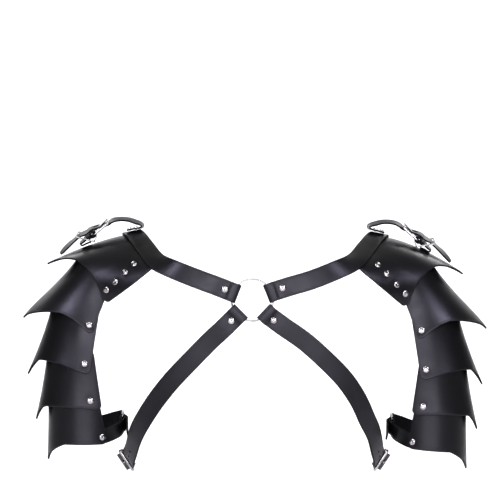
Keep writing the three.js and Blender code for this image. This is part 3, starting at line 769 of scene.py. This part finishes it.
def make_plate(name, side, index):
    """A plate of thick leather with rounded cut edges, a little dented round its rivets."""
    surface = plate_surface(side, index)
    dents = [point for point, _ in plate_rivets(side, index)]
    grid = plate_grid(surface)
    columns, rows = len(grid), len(grid[0])
    outer, inner, edges = [], [], []
    for i in range(columns):
        for j in range(rows):
            point, edge = grid[i][j]
            along = grid[min(i + 1, columns - 1)][j][0] - grid[max(i - 1, 0)][j][0]
            down = grid[i][min(j + 1, rows - 1)][0] - grid[i][max(j - 1, 0)][0]
            normal = along.cross(down).normalized() * side["sign"]
            dent = sum(math.exp(-((point - centre).length / DENT_REACH) ** 2) for centre in dents)
            point = point - normal * (DENT_DEPTH * dent)
            half = normal * wall_half(edge)
            outer.append(point + half)
            inner.append(point - half)
            edges.append(edge)
    faces, slots = [], []
    shift = len(outer)
    for i in range(columns - 1):
        for j in range(rows - 1):
            a = i * rows + j
            quad = (a, a + rows, a + rows + 1, a + 1)
            faces.append(quad)
            faces.append(tuple(shift + k for k in reversed(quad)))
            outside = min(edges[k] for k in quad) < ROUND_AT[1]
            slots += [CUT_EDGE if outside else GRAIN, CUT_EDGE if outside else FLESH]
    border = [i * rows for i in range(columns)]
    border += [(columns - 1) * rows + j for j in range(1, rows)]
    border += [i * rows + rows - 1 for i in reversed(range(columns - 1))]
    border += [j for j in reversed(range(1, rows - 1))]
    for a, b in zip(border, border[1:] + border[:1]):
        faces.append((a, b, shift + b, shift + a))
        slots.append(CUT_EDGE)
    return make_object(name, outer + inner, faces, leathers("plate"), slots, edges + edges)


# ---- straps ----


def shoulder_strap(side):
    frames = route(upper_stations(side))
    return make_strap(f"upper_strap_{side['name']}", frames, STRAP_WIDTH, strap_thick())


def lower_front_strap(side):
    buckle = side_buckle_frame(side)
    thick = strap_thick()
    tail = in_frame(buckle, *SIDE_TAIL), buckle[2]
    frames = route(
        ring_fold(side, FRONT_RING, side["lower"])
        + lower_stations(side, LOWER_FRONT, LOWER_LEAN)
        + through_buckle(buckle, SIDE_BUCKLE, thick)
        + [tail]
    )
    strap = make_strap(f"chest_strap_{side['name']}", frames, STRAP_WIDTH, thick, SIDE_TIP * STEPS // 2)
    cut_holes(strap, [slot_cutter(buckle, SIDE_BUCKLE)] + punched_row(frames))
    return strap


def punched_row(frames):
    """Cutters of the spare holes, evenly spaced back along the strap from its tip."""
    cutters = []
    travelled = 0
    wanted = HOLES_FROM
    for (here, normal, _, across), (ahead, _, _, _) in zip(frames[-2::-1], frames[:0:-1]):
        travelled += (ahead - here).length
        if travelled < wanted or len(cutters) == HOLE_COUNT:
            continue
        wanted += HOLE_PITCH
        along = across.cross(normal)
        ends = [here + normal * reach for reach in (-PUNCH_REACH, PUNCH_REACH)]
        rings = [wire_ring(end, along, across, PUNCHED_HOLE) for end in ends]
        cutters.append(tube("hole_tool", rings, False, leathers("strap")[CUT_EDGE]))
    return cutters


def lower_back_strap(side):
    buckle = side_buckle_frame(side)
    thick = strap_thick()
    frames = route(
        fold(turned(buckle), thick, SIDE_BUCKLE["wire"], SIDE_BUCKLE["chape"], 0)
        + lower_stations(side, LOWER_BACK, BACK_LEAN)
        + ring_fold(side, BACK_RING, side["lower"])[::-1]
    )
    return make_strap(f"rear_strap_{side['name']}", frames, STRAP_WIDTH, thick)


def narrow_strap(side):
    buckle = tilted_frame(side, HEEL_BAR, OUTER_BAR)
    width, thick = NARROW
    frames = route(
        stations(side, NARROW_FIXED_END)
        + through_buckle(buckle, SHOULDER_BUCKLE, thick)
        + stations(side, NARROW_TAIL)
    )
    strap = make_strap(f"cap_strap_{side['name']}", frames, width, thick, NARROW_TIP * STEPS // 2)
    cut_holes(strap, [slot_cutter(buckle, SHOULDER_BUCKLE)])
    return strap


def buckle_chape(side):
    buckle = tilted_frame(side, HEEL_BAR, OUTER_BAR)
    width, thick = NARROW
    frames = route(
        fold(turned(buckle), thick, SHOULDER_BUCKLE["wire"], SHOULDER_BUCKLE["chape"], 0)
        + stations(side, CHAPE_FOOT)
    )
    return make_strap(f"cap_chape_{side['name']}", frames, width, thick)


def arm_straps(side):
    swing = side["swing"][-1]
    width, thick = ARM_STRAP
    buckle = arm_buckle_frame(side)
    front = route(
        fold(turned(buckle), thick, ARM_BUCKLE["wire"], ARM_BUCKLE["chape"], 0)
        + stations(side, ARM_FRONT, swing)
    )
    back = route(
        stations(side, ARM_BACK, swing)
        + through_buckle(buckle, ARM_BUCKLE, thick)
        + stations(side, ARM_TAIL, swing)
    )
    name = side["name"]
    holder = make_strap(f"arm_strap_holder_{name}", front, width, thick)
    tongue = make_strap(f"arm_strap_tongue_{name}", back, width, thick, ARM_TIP * STEPS // 2)
    cut_holes(tongue, [slot_cutter(buckle, ARM_BUCKLE)])
    return holder, tongue


# ---- materials ----


def srgb(code):
    """Linear colour of an sRGB hex code."""
    parts = [int(code[i:i + 2], 16) / 255 for i in (1, 3, 5)]
    return [c / 12.92 if c <= 0.04045 else ((c + 0.055) / 1.055) ** 2.4 for c in parts] + [1]


def feed(tree, node, inputs):
    """Sets a node's inputs to values, or links sockets into them."""
    for socket, value in inputs.items():
        if isinstance(value, bpy.types.NodeSocket):
            tree.links.new(value, node.inputs[socket])
        else:
            node.inputs[socket].default_value = value


def add(tree, kind, inputs=(), output=0, **settings):
    """Adds a node with its settings, feeds its inputs, and gives one of its outputs."""
    made = tree.nodes.new(kind)
    for key, value in settings.items():
        setattr(made, key, value)
    feed(tree, made, dict(inputs))
    return made.outputs[output] if made.outputs else made


NOISE = "ShaderNodeTexNoise"
MATH = "ShaderNodeMath"
MAP = "ShaderNodeMapRange"
MIX = "ShaderNodeMix"
SOFT = {"interpolation_type": "SMOOTHSTEP"}

# Sizes of what shows on the surfaces, in metres.
WEAR = 0.045
CREASES = 0.006
PORES = 0.0011
NAP = 0.0016
DYE_PATCHES = 0.03
EDGE_FIBRES = 0.0009
WIPING_MARKS = 0.0012
HAZE = 0.012
PAINT_MOTTLE = 0.4


def new_material(name):
    """A new material: itself, its node tree and the place on the object."""
    material = bpy.data.materials.new(name)
    material.use_nodes = True
    tree = material.node_tree
    return material, tree, add(tree, "ShaderNodeTexCoord", output="Object")


def feed_surface(tree, height, strength, distance, inputs):
    """Feeds the surface shader, with a bump from a height."""
    bump = add(tree, "ShaderNodeBump", {"Height": height, "Strength": strength, "Distance": distance})
    feed(tree, tree.nodes["Principled BSDF"], {"Normal": bump, **inputs})


def grain_leather(name, dark, light, crease_at):
    """Full-grain leather, drum dyed black and waxed: satin, with pores, soft wear and a creased edge."""
    material, tree, spot = new_material(name)
    looks = bpy.context.scene.pauldron_looks
    wear = add(tree, NOISE, {"Vector": spot, "Scale": 1 / WEAR, "Detail": 3})
    wear = add(tree, MAP, {"Value": wear, "From Min": 0.35, "From Max": 0.7}, **SOFT)
    edge = add(tree, "ShaderNodeAttribute", output="Fac", attribute_name=EDGE_ATTRIBUTE)
    # Painted highlight: a thin lighter line in the colour beside the cut edge stands for the light that
    # the bevel catches.
    inside = add(tree, MAP, {"Value": edge, "From Min": EDGE_HIGHLIGHT_FROM, "From Max": EDGE_HIGHLIGHT_TO}, **SOFT)
    painted_edge_highlight = add(tree, MATH, {0: 1.0, 1: inside}, operation="SUBTRACT")
    painted_edge_highlight = add(tree, MATH, {0: painted_edge_highlight, 1: EDGE_HIGHLIGHT_SHARE}, operation="MULTIPLY")
    body = add(tree, MIX, {0: wear, 6: srgb(dark), 7: srgb(light)}, 2, data_type="RGBA")
    colour = add(tree, MIX, {0: painted_edge_highlight, 6: body, 7: srgb(EDGE_HIGHLIGHT_GREY)}, 2, data_type="RGBA")
    # Worn places are smoother and shine a little more.
    dull = looks.leather_roughness + WEAR_POLISH
    bright = looks.leather_roughness - WEAR_POLISH
    rough = add(tree, MAP, {"Value": wear, "To Min": dull, "To Max": bright})
    # Pores, fine creases, and the groove pressed along the edge.
    pores = add(tree, "ShaderNodeTexVoronoi", {"Vector": spot, "Scale": 1 / PORES}, "Distance")
    pores = add(tree, MAP, {"Value": pores, "From Min": 0, "From Max": 0.6}, **SOFT)
    pores = add(tree, MATH, {0: pores, 1: PORE_DEPTH}, operation="MULTIPLY")
    creases = add(tree, NOISE, {"Vector": spot, "Scale": 1 / CREASES, "Detail": 4, "Distortion": 0.6})
    height = add(tree, MATH, {0: pores, 1: creases}, operation="ADD")
    groove = add(tree, MATH, {0: edge, 1: crease_at}, operation="SUBTRACT")
    groove = add(tree, MATH, {0: groove}, operation="ABSOLUTE")
    groove = add(tree, MAP, {"Value": groove, "From Min": 0.15, "From Max": 0.7}, **SOFT)
    groove = add(tree, MATH, {0: groove, 1: GROOVE_DEPTH}, operation="MULTIPLY")
    height = add(tree, MATH, {0: height, 1: groove}, operation="ADD")
    feed_surface(tree, height, 0.22, 0.0004, {
        "Base Color": colour,
        "Roughness": rough,
        "Specular IOR Level": looks.leather_shine,
        "Specular Tint": srgb(COOL_SHEEN),
    })
    return material


def flesh_leather(name):
    """Flesh side of veg-tanned leather, dyed black and left napped: matt, with short loose fibres."""
    material, tree, spot = new_material(name)
    nap = add(tree, NOISE, {"Vector": spot, "Scale": 1 / NAP, "Detail": 5})
    patches = add(tree, NOISE, {"Vector": spot, "Scale": 1 / DYE_PATCHES, "Detail": 2})
    shade = add(tree, MATH, {0: nap, 1: patches}, operation="MULTIPLY")
    shade = add(tree, MAP, {"Value": shade, "From Min": 0.1, "From Max": 0.45}, **SOFT)
    colour = add(tree, MIX, {0: shade, 6: srgb("#131214"), 7: srgb("#29272a")}, 2, data_type="RGBA")
    feed_surface(tree, nap, 0.6, 0.0005, {
        "Base Color": colour,
        "Roughness": 0.88,
        "Specular IOR Level": 0.25,
    })
    return material


def edge_leather(name):
    """Cut edge of leather, inked and burnished: dark, slightly waxy, with the fibres still showing."""
    material, tree, spot = new_material(name)
    fibres = add(tree, NOISE, {"Vector": spot, "Scale": 1 / EDGE_FIBRES, "Detail": 3})
    colour = add(tree, MIX, {0: fibres, 6: srgb("#080808"), 7: srgb("#131213")}, 2, data_type="RGBA")
    feed_surface(tree, fibres, 0.3, 0.0003, {
        "Base Color": colour,
        "Roughness": 0.55,
        "Specular IOR Level": 0.2,
    })
    return material


def polished_nickel():
    """Nickel-plated steel, polished: a warm grey mirror with fine wiping marks."""
    material, tree, spot = new_material("polished_nickel")
    stretched = add(tree, "ShaderNodeMapping", {"Vector": spot, "Scale": (1, 1, 0.2)})
    wiping = add(tree, NOISE, {"Vector": stretched, "Scale": 1 / WIPING_MARKS, "Detail": 4})
    haze = add(tree, NOISE, {"Vector": spot, "Scale": 1 / HAZE, "Detail": 2})
    haze = add(tree, MAP, {"Value": haze, "From Min": 0.3, "From Max": 0.75}, **SOFT)
    colour = add(tree, MIX, {0: haze, 6: srgb("#9b9895"), 7: srgb("#bbb8b4")}, 2, data_type="RGBA")
    base = bpy.context.scene.pauldron_looks.nickel_roughness
    rough = add(tree, MAP, {"Value": wiping, "To Min": base - 0.04, "To Max": base + 0.08})
    feed_surface(tree, wiping, 0.06, 0.0001, {"Base Color": colour, "Roughness": rough, "Metallic": 1})
    return material


def painted_backdrop():
    """Matt painted studio sweep: almost white, with a roller's slight mottling."""
    material, tree, spot = new_material("matt_studio_paint")
    mottle = add(tree, NOISE, {"Vector": spot, "Scale": 1 / PAINT_MOTTLE, "Detail": 3})
    colour = add(tree, MIX, {0: mottle, 6: srgb("#f4f4f4"), 7: srgb("#f9f9f9")}, 2, data_type="RGBA")
    shader = tree.nodes["Principled BSDF"]
    feed(tree, shader, {"Base Color": colour, "Roughness": 0.85, "Specular IOR Level": 0.2})
    return material


def leathers(kind):
    """Grain, flesh side and cut edge of the plates' or straps' leather, made once."""
    name = f"waxed_{kind}_leather"
    if name not in bpy.data.materials:
        dark, light, crease_at = LEATHER_TONES[kind]
        grain_leather(name, dark, light, crease_at)
        flesh_leather(f"{name}_flesh_side")
        edge_leather(f"{name}_cut_edge")
    return [bpy.data.materials[key] for key in (name, f"{name}_flesh_side", f"{name}_cut_edge")]


def nickel():
    return bpy.data.materials.get("polished_nickel") or polished_nickel()


# ---- rivets ----


# The rivet tree's own values, in metres.
RIVET_INPUTS = (
    ("Cap Radius", 0.0045),
    ("Dome", 0.0022),
    ("Dimple", 0.0005),
    ("Shank Radius", 0.0014),
    ("Length", 0.011),
    ("Foot Radius", 0.0032),
)
DIMPLE_SHARE = 0.32
DOME_POWER = 2.4


def rivet_tree():
    """Puts a domed cap with a dimple, a shank and a foot on every point, along its axis attribute."""
    tree = bpy.data.node_groups.new("rivets", "GeometryNodeTree")
    face = tree.interface
    face.new_socket(name="Geometry", in_out="OUTPUT", socket_type="NodeSocketGeometry")
    face.new_socket(name="Geometry", in_out="INPUT", socket_type="NodeSocketGeometry")
    for name, value in RIVET_INPUTS:
        face.new_socket(name=name, in_out="INPUT", socket_type="NodeSocketFloat").default_value = value
    face.new_socket(name="Metal", in_out="INPUT", socket_type="NodeSocketMaterial")
    given = add(tree, "NodeGroupInput").node.outputs
    disc = add(tree, "GeometryNodeMeshCylinder", {
        "Vertices": 40, "Side Segments": 2, "Fill Segments": 12,
        "Radius": given["Cap Radius"], "Depth": CAP_RIM,
    })
    shank = add(tree, "GeometryNodeMeshCylinder", {
        "Vertices": 20, "Radius": given["Shank Radius"], "Depth": given["Length"],
    })
    foot = add(tree, "GeometryNodeMeshCylinder", {
        "Vertices": 28, "Fill Segments": 2, "Radius": given["Foot Radius"], "Depth": FOOT_THICK,
    })
    cap = shaped_cap(tree, disc, given)
    middle = add(tree, MATH, {0: given["Length"], 1: -0.5}, operation="MULTIPLY")
    below = add(tree, MATH, {0: -FOOT_THICK / 2, 1: given["Length"]}, operation="SUBTRACT")
    parts = []
    for mesh, height in ((cap, GAP * MM + CAP_RIM / 2), (shank, middle), (foot, below)):
        shift = add(tree, "ShaderNodeCombineXYZ", {"Z": height})
        parts.append(add(tree, "GeometryNodeTransform", {"Geometry": mesh, "Translation": shift}))
    rivet = add(tree, "GeometryNodeJoinGeometry")
    for part in parts:
        tree.links.new(part, rivet.node.inputs["Geometry"])
    axis = add(tree, "GeometryNodeInputNamedAttribute", {"Name": "axis"}, data_type="FLOAT_VECTOR")
    turn = add(tree, "FunctionNodeAlignRotationToVector", {"Vector": axis}, axis="Z")
    placed = add(tree, "GeometryNodeInstanceOnPoints", {
        "Points": given["Geometry"], "Instance": rivet, "Rotation": turn,
    })
    whole = add(tree, "GeometryNodeRealizeInstances", {"Geometry": placed})
    smooth = add(tree, "GeometryNodeSetShadeSmooth", {"Geometry": whole})
    dressed = add(tree, "GeometryNodeSetMaterial", {"Geometry": smooth, "Material": given["Metal"]})
    add(tree, "NodeGroupOutput", {"Geometry": dressed})
    return tree


def shaped_cap(tree, disc, given):
    """Lifts the upper face of a disc into a rounded dome, less a soft dimple in its middle."""
    position = add(tree, "GeometryNodeInputPosition")
    where = add(tree, "ShaderNodeSeparateXYZ", {"Vector": position}).node.outputs
    flat = add(tree, "ShaderNodeCombineXYZ", {"X": where["X"], "Y": where["Y"]})
    out = add(tree, "ShaderNodeVectorMath", {0: flat}, "Value", operation="LENGTH")
    share = add(tree, MATH, {0: out, 1: given["Cap Radius"]}, operation="DIVIDE")
    round_off = add(tree, MATH, {0: share, 1: DOME_POWER}, operation="POWER")
    round_off = add(tree, MATH, {0: 1.0, 1: round_off}, operation="SUBTRACT")
    round_off = add(tree, MATH, {0: round_off, 1: 0.0}, operation="MAXIMUM")
    round_off = add(tree, MATH, {0: round_off, 1: 0.5}, operation="POWER")
    rise = add(tree, MATH, {0: given["Dome"], 1: CAP_RIM}, operation="SUBTRACT")
    dome = add(tree, MATH, {0: round_off, 1: rise}, operation="MULTIPLY")
    away = add(tree, MAP, {"Value": share, "From Min": 0.0, "From Max": DIMPLE_SHARE}, **SOFT)
    hollow = add(tree, MATH, {0: 1.0, 1: away}, operation="SUBTRACT")
    hollow = add(tree, MATH, {0: hollow, 1: given["Dimple"]}, operation="MULTIPLY")
    dome = add(tree, MATH, {0: dome, 1: hollow}, operation="SUBTRACT")
    lift = add(tree, "ShaderNodeCombineXYZ", {"Z": dome})
    upper = add(tree, MATH, {0: where["Z"], 1: CAP_RIM / 4}, operation="GREATER_THAN")
    inputs = {"Geometry": disc, "Selection": upper, "Offset": lift}
    return add(tree, "GeometryNodeSetPosition", inputs)


def rivet_piece(name, seats, length, cap=4.5, dome=2.2, foot=3.2):
    """One piece with a rivet on every seat; sizes in millimetres."""
    mesh = bpy.data.meshes.new(name)
    mesh.from_pydata([point * MM for point, _ in seats], [], [])
    axis = mesh.attributes.new("axis", "FLOAT_VECTOR", "POINT")
    axis.data.foreach_set("vector", [part for _, normal in seats for part in normal])
    made = bpy.data.objects.new(name, mesh)
    bpy.context.scene.collection.objects.link(made)
    modifier = made.modifiers.new("rivets", "NODES")
    tree = bpy.data.node_groups.get("rivets") or rivet_tree()
    modifier.node_group = tree
    keys = {item.name: item.identifier for item in tree.interface.items_tree if item.in_out == "INPUT"}
    given = {"Cap Radius": cap, "Dome": dome, "Length": length, "Foot Radius": foot}
    for key, value in given.items():
        modifier[keys[key]] = value * MM
    modifier[keys["Metal"]] = nickel()
    plain_mesh(made)
    made.data.set_sharp_from_angle(angle=RIVET_SHARP)
    return made


# ---- properties ----


class PauldronSizes(bpy.types.PropertyGroup):
    """Sizes that the operators share."""

    strap_thick: FloatProperty(
        name="Strap Thickness",
        description="Thickness of the shoulder and chest straps",
        default=0.0026, min=0.001, max=0.004, unit="LENGTH",
    )
    ring_wire: FloatProperty(
        name="Ring Wire Radius",
        description="Radius of the wire of both rings",
        default=0.00125, min=0.001, max=0.003, unit="LENGTH",
    )


class PauldronLooks(bpy.types.PropertyGroup):
    """Looks of the leather, the metal and the light."""

    leather_roughness: FloatProperty(
        name="Leather Roughness",
        description="Roughness of the waxed grain side",
        default=0.36, min=0.1, max=0.9, subtype="FACTOR",
    )
    leather_shine: FloatProperty(
        name="Leather Shine",
        description="Specular level of the waxed grain side",
        default=0.42, min=0, max=1, subtype="FACTOR",
    )
    nickel_roughness: FloatProperty(
        name="Nickel Roughness",
        description="Roughness of the polished nickel",
        default=0.2, min=0.05, max=0.6, subtype="FACTOR",
    )
    key_power: FloatProperty(
        name="Key Power",
        description="Power of each of the two soft boxes beside the camera",
        default=22, min=0, unit="POWER",
    )


def sizes():
    return bpy.context.scene.pauldron_sizes


def strap_thick():
    """Thickness of the wide straps, in millimetres."""
    return sizes().strap_thick / MM


# ---- operators, one for each piece or group of like pieces ----


class PAULDRON_OT_plates(bpy.types.Operator):
    """Builds the five overlapping plates on each shoulder"""

    bl_idname = "pauldron.plates"
    bl_label = "Plates"

    def execute(self, context):
        for side in SIDES:
            for index in range(len(PLATES)):
                node = f"plate_{index + 1}_{side['name']}"
                finish_piece(make_plate(f"{node}_leather", side, index), [node])
        return {"FINISHED"}


class PAULDRON_OT_shoulder_straps(bpy.types.Operator):
    """Builds the straps that run over the shoulders from ring to ring"""

    bl_idname = "pauldron.shoulder_straps"
    bl_label = "Shoulder Straps"

    def execute(self, context):
        for side in SIDES:
            finish_piece(shoulder_strap(side), [f"shoulder_strap_{side['name']}"])
        return {"FINISHED"}


class PAULDRON_OT_chest_straps(bpy.types.Operator):
    """Builds the lower straps from the rings to the side buckles"""

    bl_idname = "pauldron.chest_straps"
    bl_label = "Chest Straps"

    def execute(self, context):
        for side in SIDES:
            name = side["name"]
            finish_piece(lower_front_strap(side), [f"lower_front_strap_{name}"])
            finish_piece(lower_back_strap(side), [f"lower_back_strap_{name}"])
        return {"FINISHED"}


class PAULDRON_OT_cap_straps(bpy.types.Operator):
    """Builds the narrow straps over the shoulder caps, with their chapes"""

    bl_idname = "pauldron.cap_straps"
    bl_label = "Cap Straps"

    def execute(self, context):
        for side in SIDES:
            name = side["name"]
            finish_piece(narrow_strap(side), [f"narrow_strap_{name}"])
            finish_piece(buckle_chape(side), [f"buckle_chape_{name}"])
        return {"FINISHED"}


class PAULDRON_OT_arm_straps(bpy.types.Operator):
    """Builds the straps round the arms"""

    bl_idname = "pauldron.arm_straps"
    bl_label = "Arm Straps"

    def execute(self, context):
        for side in SIDES:
            name = side["name"]
            holder, tongue = arm_straps(side)
            finish_piece(holder, [f"arm_strap_front_{name}"])
            finish_piece(tongue, [f"arm_strap_back_{name}"])
        return {"FINISHED"}


class PAULDRON_OT_rings(bpy.types.Operator):
    """Builds the rings on the chest and the back"""

    bl_idname = "pauldron.rings"
    bl_label = "Rings"

    def execute(self, context):
        for name, ring in (("front", FRONT_RING), ("back", BACK_RING)):
            piece = ring_piece(f"{name}_ring_nickel", ring, nickel())
            finish_piece(piece, [f"{name}_ring"])
        return {"FINISHED"}


class PAULDRON_OT_buckles(bpy.types.Operator):
    """Builds the buckles' frames and prongs, and the strap keepers"""

    bl_idname = "pauldron.buckles"
    bl_label = "Buckles"

    def execute(self, context):
        for side in SIDES:
            name = side["name"]
            buckles = (
                ("side_buckle", side_buckle_frame(side), SIDE_BUCKLE),
                ("shoulder_buckle", tilted_frame(side, HEEL_BAR, OUTER_BAR), SHOULDER_BUCKLE),
                ("arm_buckle", arm_buckle_frame(side), ARM_BUCKLE),
            )
            for kind, bar, shape in buckles:
                loop = wire_loop(f"{kind}_wire_{name}", bar, shape, nickel())
                finish_piece(loop, [f"{kind}_frame_{name}"])
                pin = prong(f"{kind}_pin_{name}", bar, shape, nickel())
                finish_piece(pin, [f"{kind}_prong_{name}"])
            bar = tilted_frame(side, KEEPER_FROM, KEEPER_TO)
            loop = wire_loop(f"keeper_wire_{name}", bar, KEEPER, nickel())
            finish_piece(loop, [f"strap_keeper_{name}"])
        return {"FINISHED"}


class PAULDRON_OT_rivets(bpy.types.Operator):
    """Sets the rivets of the plates, the ring folds and the cap straps"""

    bl_idname = "pauldron.rivets"
    bl_label = "Rivets"

    def execute(self, context):
        for side in SIDES:
            name = side["name"]
            seats = [seat for index in range(len(PLATES) - 1) for seat in plate_rivets(side, index)]
            nodes = [f"plate_1_rivet_{i + 1}_{name}" for i in range(len(PLATES[0]["rivets"]))]
            nodes += [f"plate_{number}_rivet_{name}" for number in (2, 3, 4)]
            finish_piece(rivet_piece(f"plate_rivets_{name}", seats, PLATE_RIVET), nodes)
            last = plate_rivets(side, len(PLATES) - 1)
            piece = rivet_piece(f"corner_rivet_{name}", last, LAST_RIVET)
            finish_piece(piece, [f"plate_5_rivet_{name}"])
            seats = [ring_rivet(side, FRONT_RING, side[end]) for end in ("upper", "lower")]
            length = 2 * strap_thick() + GAP + FOLD_RIVET_PAST
            nodes = [f"ring_rivet_{end}_{name}" for end in ("upper", "lower")]
            finish_piece(rivet_piece(f"fold_rivets_{name}", seats, length), nodes)
            small = rivet_piece(f"anchor_rivets_{name}", anchor_seats(side), **ANCHOR_RIVET)
            finish_piece(small, [])
        return {"FINISHED"}


def anchor_seats(side):
    """Two small rivets hold the narrow strap's fixed end on the shoulder strap."""
    frames = route(stations(side, NARROW_FIXED_END))
    seats = []
    for at in ANCHOR_FRAMES:
        point, normal, _, _ = frames[at]
        inner = -normal if normal.z < 0 else normal
        seats.append((point + inner * (NARROW[1] / 2 + RIVET_SEAT), inner))
    return seats


# ---- stage ----

FLOOR_Z = -0.52
SWEEP_START = 2.6
SWEEP_RADIUS = 1.1
SWEEP_HALF = 5.5
SWEEP_FRONT = -4.5
SWEEP_TOP = 4.0
SWEEP_STEPS = 24
CAMERA_AT = (-0.0075, -2.6, -0.0244)
CAMERA_ANGLE = 14.86
SENSOR_WIDTH = 36
AIM = Vector((0, 0, -0.15))
# Soft boxes: place, size, share of the key power, and tint.
SOFT_BOXES = (
    ("left_soft_box", (-1.4, -1.5, 1.15), (0.8, 0.7), 1, "#ebe5ff"),
    ("right_soft_box", (1.4, -1.5, 1.15), (0.8, 0.7), 1, "#ebe5ff"),
    ("front_soft_box", (0, -3.3, 0.25), (3.2, 0.8), 3.0, "#f3f0ff"),
    ("top_soft_box", (0, -1.1, 1.7), (1.3, 0.7), 0.45, "#ffffff"),
)
# Lamps that wash the wall behind.
WALL_WASHES = (("wall_wash_left", (-1.9, 2.0, 2.2)), ("wall_wash_right", (1.9, 2.0, 2.2)))
WASH_SIZE = (1.2, 1.2)
WASH_POWER = 60
WASH_AIM = Vector((0, 3.6, 0))
ROOM_LIGHT = ("#f6f6f8", 0.12)


def soft_box(name, at, size, power, colour, aim=AIM):
    light = bpy.data.lights.new(name, "AREA")
    light.shape = "RECTANGLE"
    light.size, light.size_y = size
    light.energy = power
    light.color = srgb(colour)[:3]
    made = bpy.data.objects.new(name, light)
    made.location = at
    made.rotation_euler = (aim - Vector(at)).to_track_quat("-Z", "Y").to_euler()
    bpy.context.scene.collection.objects.link(made)


def studio_sweep():
    """A floor that curves up into the wall behind."""
    profile = [(SWEEP_FRONT, FLOOR_Z), (SWEEP_START, FLOOR_Z)]
    for k in range(1, SWEEP_STEPS + 1):
        angle = math.pi / 2 * k / SWEEP_STEPS
        y = SWEEP_START + SWEEP_RADIUS * math.sin(angle)
        profile.append((y, FLOOR_Z + SWEEP_RADIUS * (1 - math.cos(angle))))
    profile.append((SWEEP_START + SWEEP_RADIUS, SWEEP_TOP))
    points = [Vector((x, y, z)) for y, z in profile for x in (-SWEEP_HALF, SWEEP_HALF)]
    faces = [(2 * i, 2 * i + 1, 2 * i + 3, 2 * i + 2) for i in range(len(profile) - 1)]
    mesh = bpy.data.meshes.new("studio_sweep")
    mesh.from_pydata(points, [], faces)
    mesh.materials.append(painted_backdrop())
    mesh.polygons.foreach_set("use_smooth", [True] * len(faces))
    made = bpy.data.objects.new("studio_sweep", mesh)
    bpy.context.scene.collection.objects.link(made)


class PAULDRON_OT_stage(bpy.types.Operator):
    """Sets up the sweep, the lights and the camera"""

    bl_idname = "pauldron.stage"
    bl_label = "Stage"

    def execute(self, context):
        scene = context.scene
        studio_sweep()
        key = scene.pauldron_looks.key_power
        for name, at, size, share, tint in SOFT_BOXES:
            soft_box(name, at, size, key * share, tint)
        for name, at in WALL_WASHES:
            soft_box(name, at, WASH_SIZE, WASH_POWER, "#ffffff", WASH_AIM)
        world = bpy.data.worlds.new("pale_room")
        scene.world = world
        world.use_nodes = True
        background = world.node_tree.nodes["Background"]
        feed(world.node_tree, background, {"Color": srgb(ROOM_LIGHT[0]), "Strength": ROOM_LIGHT[1]})
        scene.view_settings.view_transform = "Standard"
        scene.view_settings.look = "Medium High Contrast"
        camera = bpy.data.cameras.new("camera")
        camera.sensor_width = SENSOR_WIDTH
        camera.angle = math.radians(CAMERA_ANGLE)
        holder = bpy.data.objects.new("camera", camera)
        holder.location = CAMERA_AT
        holder.rotation_euler = (math.pi / 2, 0, 0)
        scene.collection.objects.link(holder)
        scene.camera = holder
        return {"FINISHED"}


OPERATORS = (
    PAULDRON_OT_plates,
    PAULDRON_OT_shoulder_straps,
    PAULDRON_OT_chest_straps,
    PAULDRON_OT_cap_straps,
    PAULDRON_OT_arm_straps,
    PAULDRON_OT_rings,
    PAULDRON_OT_buckles,
    PAULDRON_OT_rivets,
    PAULDRON_OT_stage,
)


class PAULDRON_PT_panel(bpy.types.Panel):
    """Lists the pieces in the order they are built"""

    bl_idname = "PAULDRON_PT_panel"
    bl_label = "Pauldron"
    bl_space_type = "VIEW_3D"
    bl_region_type = "UI"
    bl_category = "Pauldron"

    def draw(self, context):
        layout = self.layout
        scene = context.scene
        for group in (scene.pauldron_sizes, scene.pauldron_looks):
            for key in group.__annotations__:
                layout.prop(group, key)
        for operator in OPERATORS:
            layout.operator(operator.bl_idname)


CLASSES = (PauldronSizes, PauldronLooks, *OPERATORS, PAULDRON_PT_panel)


def register():
    for item in CLASSES:
        bpy.utils.register_class(item)
    bpy.types.Scene.pauldron_sizes = PointerProperty(type=PauldronSizes)
    bpy.types.Scene.pauldron_looks = PointerProperty(type=PauldronLooks)


def unregister():
    del bpy.types.Scene.pauldron_looks
    del bpy.types.Scene.pauldron_sizes
    for item in reversed(CLASSES):
        bpy.utils.unregister_class(item)


def main():
    register()
    bpy.ops.pauldron.plates()
    bpy.ops.pauldron.shoulder_straps()
    bpy.ops.pauldron.chest_straps()
    bpy.ops.pauldron.cap_straps()
    bpy.ops.pauldron.arm_straps()
    bpy.ops.pauldron.rings()
    bpy.ops.pauldron.buckles()
    bpy.ops.pauldron.rivets()
    bpy.ops.pauldron.stage()


if __name__ == "__main__":
    main()
